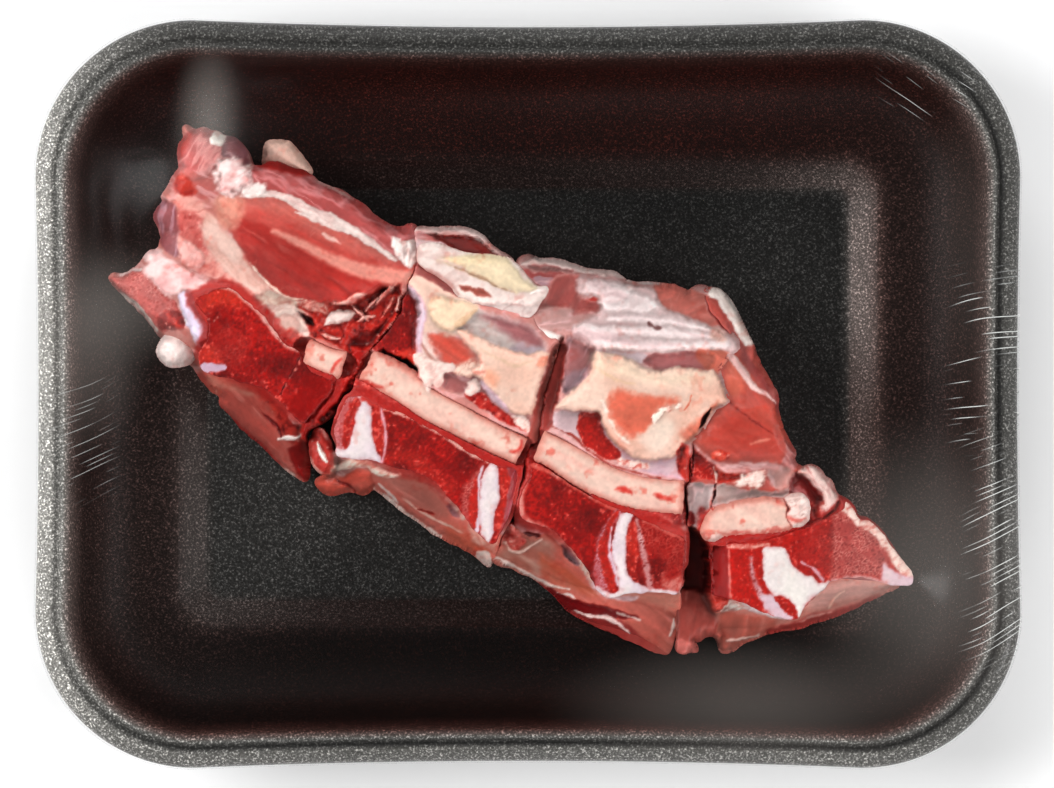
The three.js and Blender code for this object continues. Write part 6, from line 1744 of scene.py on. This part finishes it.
def face_4():
    r = Relief(FACE_4, 15, ragged=0.2, look=marrow(rgb(188, 30, 20), rgb(150, 18, 12), 0.14), level=SAW_CUT)
    r.area("58.6,-35.6 60,-32.8 63,-30.4 66,-28.8 68.8,-27.6 69.4,-32 68.8,-36 68,-42 66,-42.2 63.4,-40.8"
           " 60.6,-39.2 59,-37", marrow(rgb(168, 24, 16), rgb(120, 10, 10), 0.2), soft=0.6)
    r.area("68.4,-28 71,-26 72.6,-27 75,-30 78,-30.6 80.4,-33 81.4,-37 81,-41 76,-40.8 70.6,-41.2"
           " 68.2,-41.8 68.6,-34", spongy(rgb(178, 66, 62)), soft=0.9)
    r.area("61,-33 66,-30 68,-33 67.6,-40 64.6,-38.4 61.6,-37",
           spongy(rgb(176, 28, 22), rgb(216, 112, 100), rgb(130, 10, 10)), soft=1.2, amount=0.6)
    r.area("71.4,-24.2 73.6,-26 75,-28.3 76.8,-28.5 79.4,-30.5 82.6,-34.5 85.6,-38.4 87.2,-41 85,-41.6"
           " 82.4,-38.8 80.2,-34.8 78,-31.8 75.6,-30.6 73.6,-29.6 72.2,-27.2 70.4,-26.2 69.6,-24.6",
           fat(rgb(238, 208, 196), rgb(206, 118, 106), 1.1, 0.3), soft=0.4, rise=0.3)
    r.area("80,-38.2 82,-39.4 84,-40.4 87,-41.4 87,-43.4 85,-44 82,-43.4 79.6,-42.6",
           disc(rgb(232, 204, 208), rgb(214, 178, 196)), soft=0.5)
    r.line("67.4,-42.4,0.8 71,-41.6,1.2 76,-41.4,1.2 80.4,-42.8,1.2", plain(rgb(216, 152, 148)), soft=0.35)
    r.line("42,-34.4,0.8 48,-34.4,0.9 54,-34,0.8", fat(rgb(230, 160, 148), rgb(200, 70, 60), 1), soft=0.3)
    r.area("41,-34 45,-34 45.3,-40 45.5,-46.6 41.4,-45.6", muscle(rgb(146, 26, 26), 85, 0.14, 0.15), soft=0.2,
           z=lambda x, y: 32.6 - 0.9 * np.clip(45.2 - x, 0, 5))
    r.line("45.3,-35,0.3 45.4,-40,0.4 45.6,-46,0.4", plain(rgb(232, 150, 138)), soft=0.2, amount=0.7)
    r.line("50.2,-37,0.7 50.8,-42,1.2 52.8,-45.4,1.3 55.4,-49,1.0",
           spongy(rgb(214, 140, 146), rgb(232, 186, 190)), soft=0.5)
    r.area("52.4,-45.2 55.6,-45.2 57.6,-47.8 59.6,-50.4 57,-50.8 54.6,-49.8 53.2,-47.4",
           disc(rgb(224, 190, 200)), soft=0.4)
    r.area("53,-34.6 55.4,-34.3 57.7,-34.7 58.7,-36.4 59.3,-38.2 60.9,-39.8 62.9,-40.8 64.7,-41.8"
           " 65.7,-42.7 67.2,-42.3 68,-42.6 66,-44.4 63.4,-46.4 62.2,-48 61.2,-50.6 60.2,-49 59.9,-47.4"
           " 58,-46 55.4,-45 53.5,-43 52.7,-40 52.7,-37", disc(rgb(238, 230, 223), rgb(228, 214, 214)),
           soft=0.25, rise=0.15, dome=0.2, width=3.5)
    r.area("55.6,-45.6 57.6,-46 59.6,-47.6 60.3,-49 60,-50 58.4,-49.6 56.8,-47.8", marrow(rgb(202, 34, 22)),
           soft=0.2, rise=-0.3)
    r.line("61.6,-38,0.3 64,-39.4,0.6 66.4,-42,0.5", plain(rgb(206, 150, 160)), rise=0.2)
    return r


def nerve(x, y, d):
    """Spinal cord: pale, streaked along, pinker and darker towards its edges."""
    along, across = turned(x, y, -27, 6)
    out = mix(rgb(234, 197, 181), rgb(228, 178, 164),
              step(-0.3, 0.9, fbm(along, across, 2.2, 121, 2))[..., None])
    out = mix(out, rgb(226, 150, 134), (0.85 * step(2.2, 0.2, d))[..., None])
    out = mix(out, rgb(212, 92, 76), (0.6 * step(0.35, 0.75, fbm(x, y, 2.2, 123)))[..., None])
    return out, 0.08 * fbm(along, across, 1.8, 125, 2), 0.0


def broken_cord():
    """The last length of cord: a rounded, frayed end on the left and a crushed one on the right."""
    r = Relief(CORD_4, 34, ragged=0.3, look=nerve, level=lambda x, y: 34.4 + 0 * x)
    middle = pts("41,-30,8 46,-28.2,9 52,-27.7,9.4 58,-26.6,9 63,-26,9")
    d, _ = line_distance(r.x, r.y, middle)
    r.z -= 2.4 * (1 - np.sqrt(1 - (1 - np.clip(d / 4.6, 0, 1)) ** 2))
    r.z += 0.4 * fbm(r.x, r.y, 3.5, 38)
    r.area("57,-23.4 58.6,-25.6 58.4,-27.6 59.8,-30 62,-30.4 64.2,-29 64.2,-24 62,-21.8 59,-22",
           fat(rgb(236, 212, 204), rgb(214, 160, 148), 1.3, 0.5), soft=0.25, rise=0.4)
    r.line("57.2,-23.6,0.3 58.4,-25.6,0.6 58.2,-27.4,0.4 59.6,-30,0.3", plain(rgb(196, 104, 92)), rise=-0.6)
    r.line("58.4,-27.6,0.4 60.4,-28.4,0.8 62.4,-28,0.4", raw(rgb(206, 96, 84), relief=0.2), soft=0.4,
           amount=0.7)
    for spot in ("43,-31.8,0.4 46,-31.4,1.4 50,-31.6,1.2 55,-31.2,1.2 58,-30.6,0.5",
                 "39.4,-31.6,0.4 41,-31.8,1.2 42.6,-32.4,0.5"):
        r.line(spot, raw(rgb(214, 104, 92), rgb(196, 66, 56), rgb(240, 186, 172), 0.3, 1), soft=0.5,
               amount=0.75, fray=0.8)
    r.area("41.4,-31.6 43.6,-31.8 43.9,-33 42.4,-33.8 40.8,-33", plain(rgb(226, 186, 176)), rise=0.5)
    r.round_edge(1.2, 1.4)
    return r


def cord(path, widths, seed, spots="", top=CORD_TOP):
    """A length of cord lying along a path, cut square at both ends."""
    curve = spline(pts(path), False, 6)
    half = np.interp(np.linspace(0, 1, len(curve)), np.linspace(0, 1, len(widths)), widths) / 2
    along = np.gradient(curve, axis=0)
    along /= np.linalg.norm(along, axis=1)[:, None]
    left = curve + np.stack([-along[:, 1], along[:, 0]], 1) * half[:, None]
    right = curve - np.stack([-along[:, 1], along[:, 0]], 1) * half[:, None]
    r = Relief(np.concatenate([right, left[::-1]]), seed, ragged=0.35, look=nerve, level=0)
    d, _ = line_distance(r.x, r.y, np.column_stack([curve, 2 * half]))
    reach = half.max()
    r.z += top - 2.3 * (1 - np.sqrt(1 - (1 - np.clip(d / reach, 0, 1)) ** 2))
    r.z += 0.35 * fbm(r.x, r.y, 4, seed + 3) - 0.35
    for spot in spots.split(";") if spots else ():
        r.line(spot, raw(rgb(200, 44, 36), rgb(170, 24, 20), rgb(226, 110, 96), 0.1), soft=0.5, amount=0.85)
    r.round_edge(0.9, 0.9)
    return r


def knob(outline, seed, top, height, look):
    """A small rounded knob of cartilage."""
    r = Relief(outline, seed, spacing=0.22, ragged=0.15, look=look, level=top)
    r.round_edge(r.depth.max(), height)
    return r


def add_tray(foam):
    tray = tray_piece(foam)
    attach(tray, "root")
    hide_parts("tray")


def add_neck(flesh):
    """The four pieces of meat, with the sawn faces of their vertebrae."""
    reliefs = [piece_1(), piece_2(), piece_3(), piece_4()]
    reliefs[1].lower(FOLD_2, 2.2, 1.0, 1.2)
    vertebrae = [face_1(), face_2(), face_3(), face_4()]
    for k, (r, v) in enumerate(zip(reliefs, vertebrae), 1):
        r.redden(v.loop)
        r.lower(v.loop, 5, 0.2, 0.6)
        meat = relief_mesh(r, f"neck_meat_{k}", flesh, flare=1.1 if k in (1, 3) else 0.3)
        bone = relief_mesh(v, f"sawn_vertebra_{k}", flesh, bottom=lambda x, y, z: z - 8, rings=4, bulge=0.0,
                           tuck=0.3)
        for piece, node, slot in ((meat, f"meat_{k}", "raw_meat"), (bone, f"vertebra_{k}", "sawn_bone")):
            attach(piece, "root")
            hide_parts(node)
    return reliefs + vertebrae


def add_cords(flesh):
    """The lengths of spinal cord in the opened canal."""
    cords = [
        cord("-50,9.4 -47,8.3 -44,7.2 -41.5,6.4", [6.6, 6.6], 31, "-44,5,0.3 -43,7,1.0 -42,8,0.3", 34.2),
        cord(CORD_2, [8.6, 8.2, 7.4, 6.8, 6.6], 32,
             "-38,3,0.4 -36,2,1.6 -33,1.2,0.5;-4,-13,0.3 -2,-12.4,1.1 -1.6,-10.6,0.4"),
        cord(CORD_3, [7.2, 8.0, 8.4, 8.4], 33,
             "19.6,-21.4,0.4 21.6,-21.4,1.3 23.4,-22.2,0.3;28.6,-22.4,0.3 30,-23.2,1.2 32,-23.6,0.4"),
        broken_cord(),
    ]
    # A shred of the lining hangs over the second length.
    cords[1].area(SHRED, SHRED_LOOK, soft=0.2, rise=0.8, fray=0.3)
    for k, r in enumerate(cords, 1):
        piece = relief_mesh(r, f"spinal_cord_piece_{k}", flesh, bottom=lambda x, y, z: 0 * z + CORD_BED,
                            rings=5, bulge=0.2, tuck=0.9)
        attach(piece, "root")
        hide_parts(f"spinal_cord_{k}")
    return cords


def add_fold(flesh):
    """The fold of fat with the yellow ligament."""
    fold = fold_2()
    piece = relief_mesh(fold, "neck_ligament", flesh, bottom=lambda x, y, z: z - 3.2, rings=5, bulge=0.3,
                        tuck=0.9)
    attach(piece, "root")
    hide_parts("ligament")
    return [fold]


def add_knobs(flesh):
    """The white knobs of cartilage beside and behind the first piece."""
    knobs = [
        ("left", 28.8, "-84.2,9.4 -83.4,12.2 -81.4,13.9 -79,14.2 -76.6,13.2 -75.3,11.4 -75.5,9.2"
                       " -77.2,7 -79.8,6.2 -82.4,6.8", plain(rgb(238, 218, 212), 0.06, 0.15), 5),
        ("top", 22, "-60.6,52.4 -60.9,55 -60,57.6 -58,58.3 -55.2,57.9 -53.2,56.3 -51,53.4 -49.6,50.8"
                    " -51.4,50 -55,50.4 -58.6,51", plain(rgb(216, 176, 160), 0.1, 0.15), 4),
    ]
    reliefs = []
    for k, (name, top, outline, look, height) in enumerate(knobs):
        r = knob(outline, 41 + k, top, height, look)
        reliefs.append(r)
        piece = relief_mesh(r, f"white_knob_{name}", flesh, bottom=lambda x, y, z: 0 * z + z.min() - 2.5,
                            rings=5, bulge=0.5, tuck=2)
        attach(piece, "root")
        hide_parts(f"cartilage_knob_{name}")
    return reliefs


def add_film(film, contents):
    wrap = film_piece(film_heights(contents), film)
    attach(wrap, "root")
    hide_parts("film")


FLOOR_HALF = 900


def add_floor(pale):
    corners = ((-1, -1), (1, -1), (1, 1), (-1, 1))
    verts = [(x * FLOOR_HALF, y * FLOOR_HALF, 0) for x, y in corners]
    floor = make_mesh("floor", verts, [(0, 1, 2, 3)], material=pale, smooth=False)


def build():
    flesh = flesh_material("raw_flesh")
    foam, film, pale = foam_material(), film_material(), floor_material()
    add_tray(foam)
    contents = add_neck(flesh) + add_cords(flesh) + add_fold(flesh) + add_knobs(flesh)
    add_film(film, contents)
    add_floor(pale)


def light(name, place, size, power, glossy):
    """An area light that either lights the scene softly or is only seen as a reflection."""
    data = bpy.data.lights.new(name, "AREA")
    data.shape, data.size, data.size_y = "RECTANGLE", size[0], size[1]
    data.energy = power
    obj = bpy.data.objects.new(name, data)
    bpy.context.scene.collection.objects.link(obj)
    obj.location = place
    direction = [t - p for t, p in zip(AIM, place)]
    obj.rotation_euler = mathutils.Vector(direction).to_track_quat("-Z", "Y").to_euler()
    obj.visible_glossy = glossy
    obj.visible_diffuse = not glossy


def room():
    """Pale walls under a dark ceiling."""
    world = bpy.data.worlds.new("room")
    world.use_nodes = True
    tree = world.node_tree
    split = tree.nodes.new("ShaderNodeSeparateXYZ")
    tree.links.new(tree.nodes.new("ShaderNodeTexCoord").outputs["Generated"], split.inputs[0])
    ramp = tree.nodes.new("ShaderNodeValToRGB")
    tree.links.new(split.outputs["Z"], ramp.inputs["Fac"])
    for element, height, light_level in zip(ramp.color_ramp.elements, (0.35, 0.85), (0.5, 0.03)):
        element.position = height
        element.color = (*grey(light_level), 1)
    tree.links.new(ramp.outputs["Color"], tree.nodes["Background"].inputs["Color"])
    return world


# Name, place and size in metres, power that lights softly, and power that is only seen reflected.
SOFTBOXES = (("left", (-0.75, 0.15, 0.62), (0.5, 0.6), 8.2, 1.6),
             ("right", (0.75, -0.25, 0.62), (0.4, 0.5), 5.0, 1.2),
             ("top", (-0.05, 0.75, 0.6), (0.6, 0.35), 3.6, 0.6),
             ("bottom", (0.1, -0.75, 0.6), (0.6, 0.35), 2.3, 0.4))
AIM = (0, 0, 0.02)
SENSOR = 36
VIEW_DISTANCE, VIEW_WIDTH = 750, 239  # at the lip's level
CAMERA_PLACE = (-0.0002, 0, 0.778)


def stage():
    scene = bpy.context.scene
    scene.world = room()
    scene.view_settings.view_transform = "Standard"
    for name, place, size, soft, shine in SOFTBOXES:
        light(name + "_softbox", place, size, soft, False)
        light(name + "_strip", place, (size[0] * 0.5, size[1] * 0.5), shine, True)
    data = bpy.data.cameras.new("camera")
    data.sensor_width = SENSOR
    data.lens = SENSOR * VIEW_DISTANCE / VIEW_WIDTH
    data.clip_end = 10
    camera = bpy.data.objects.new("camera", data)
    scene.collection.objects.link(camera)
    camera.location = CAMERA_PLACE
    scene.camera = camera


build()
stage()
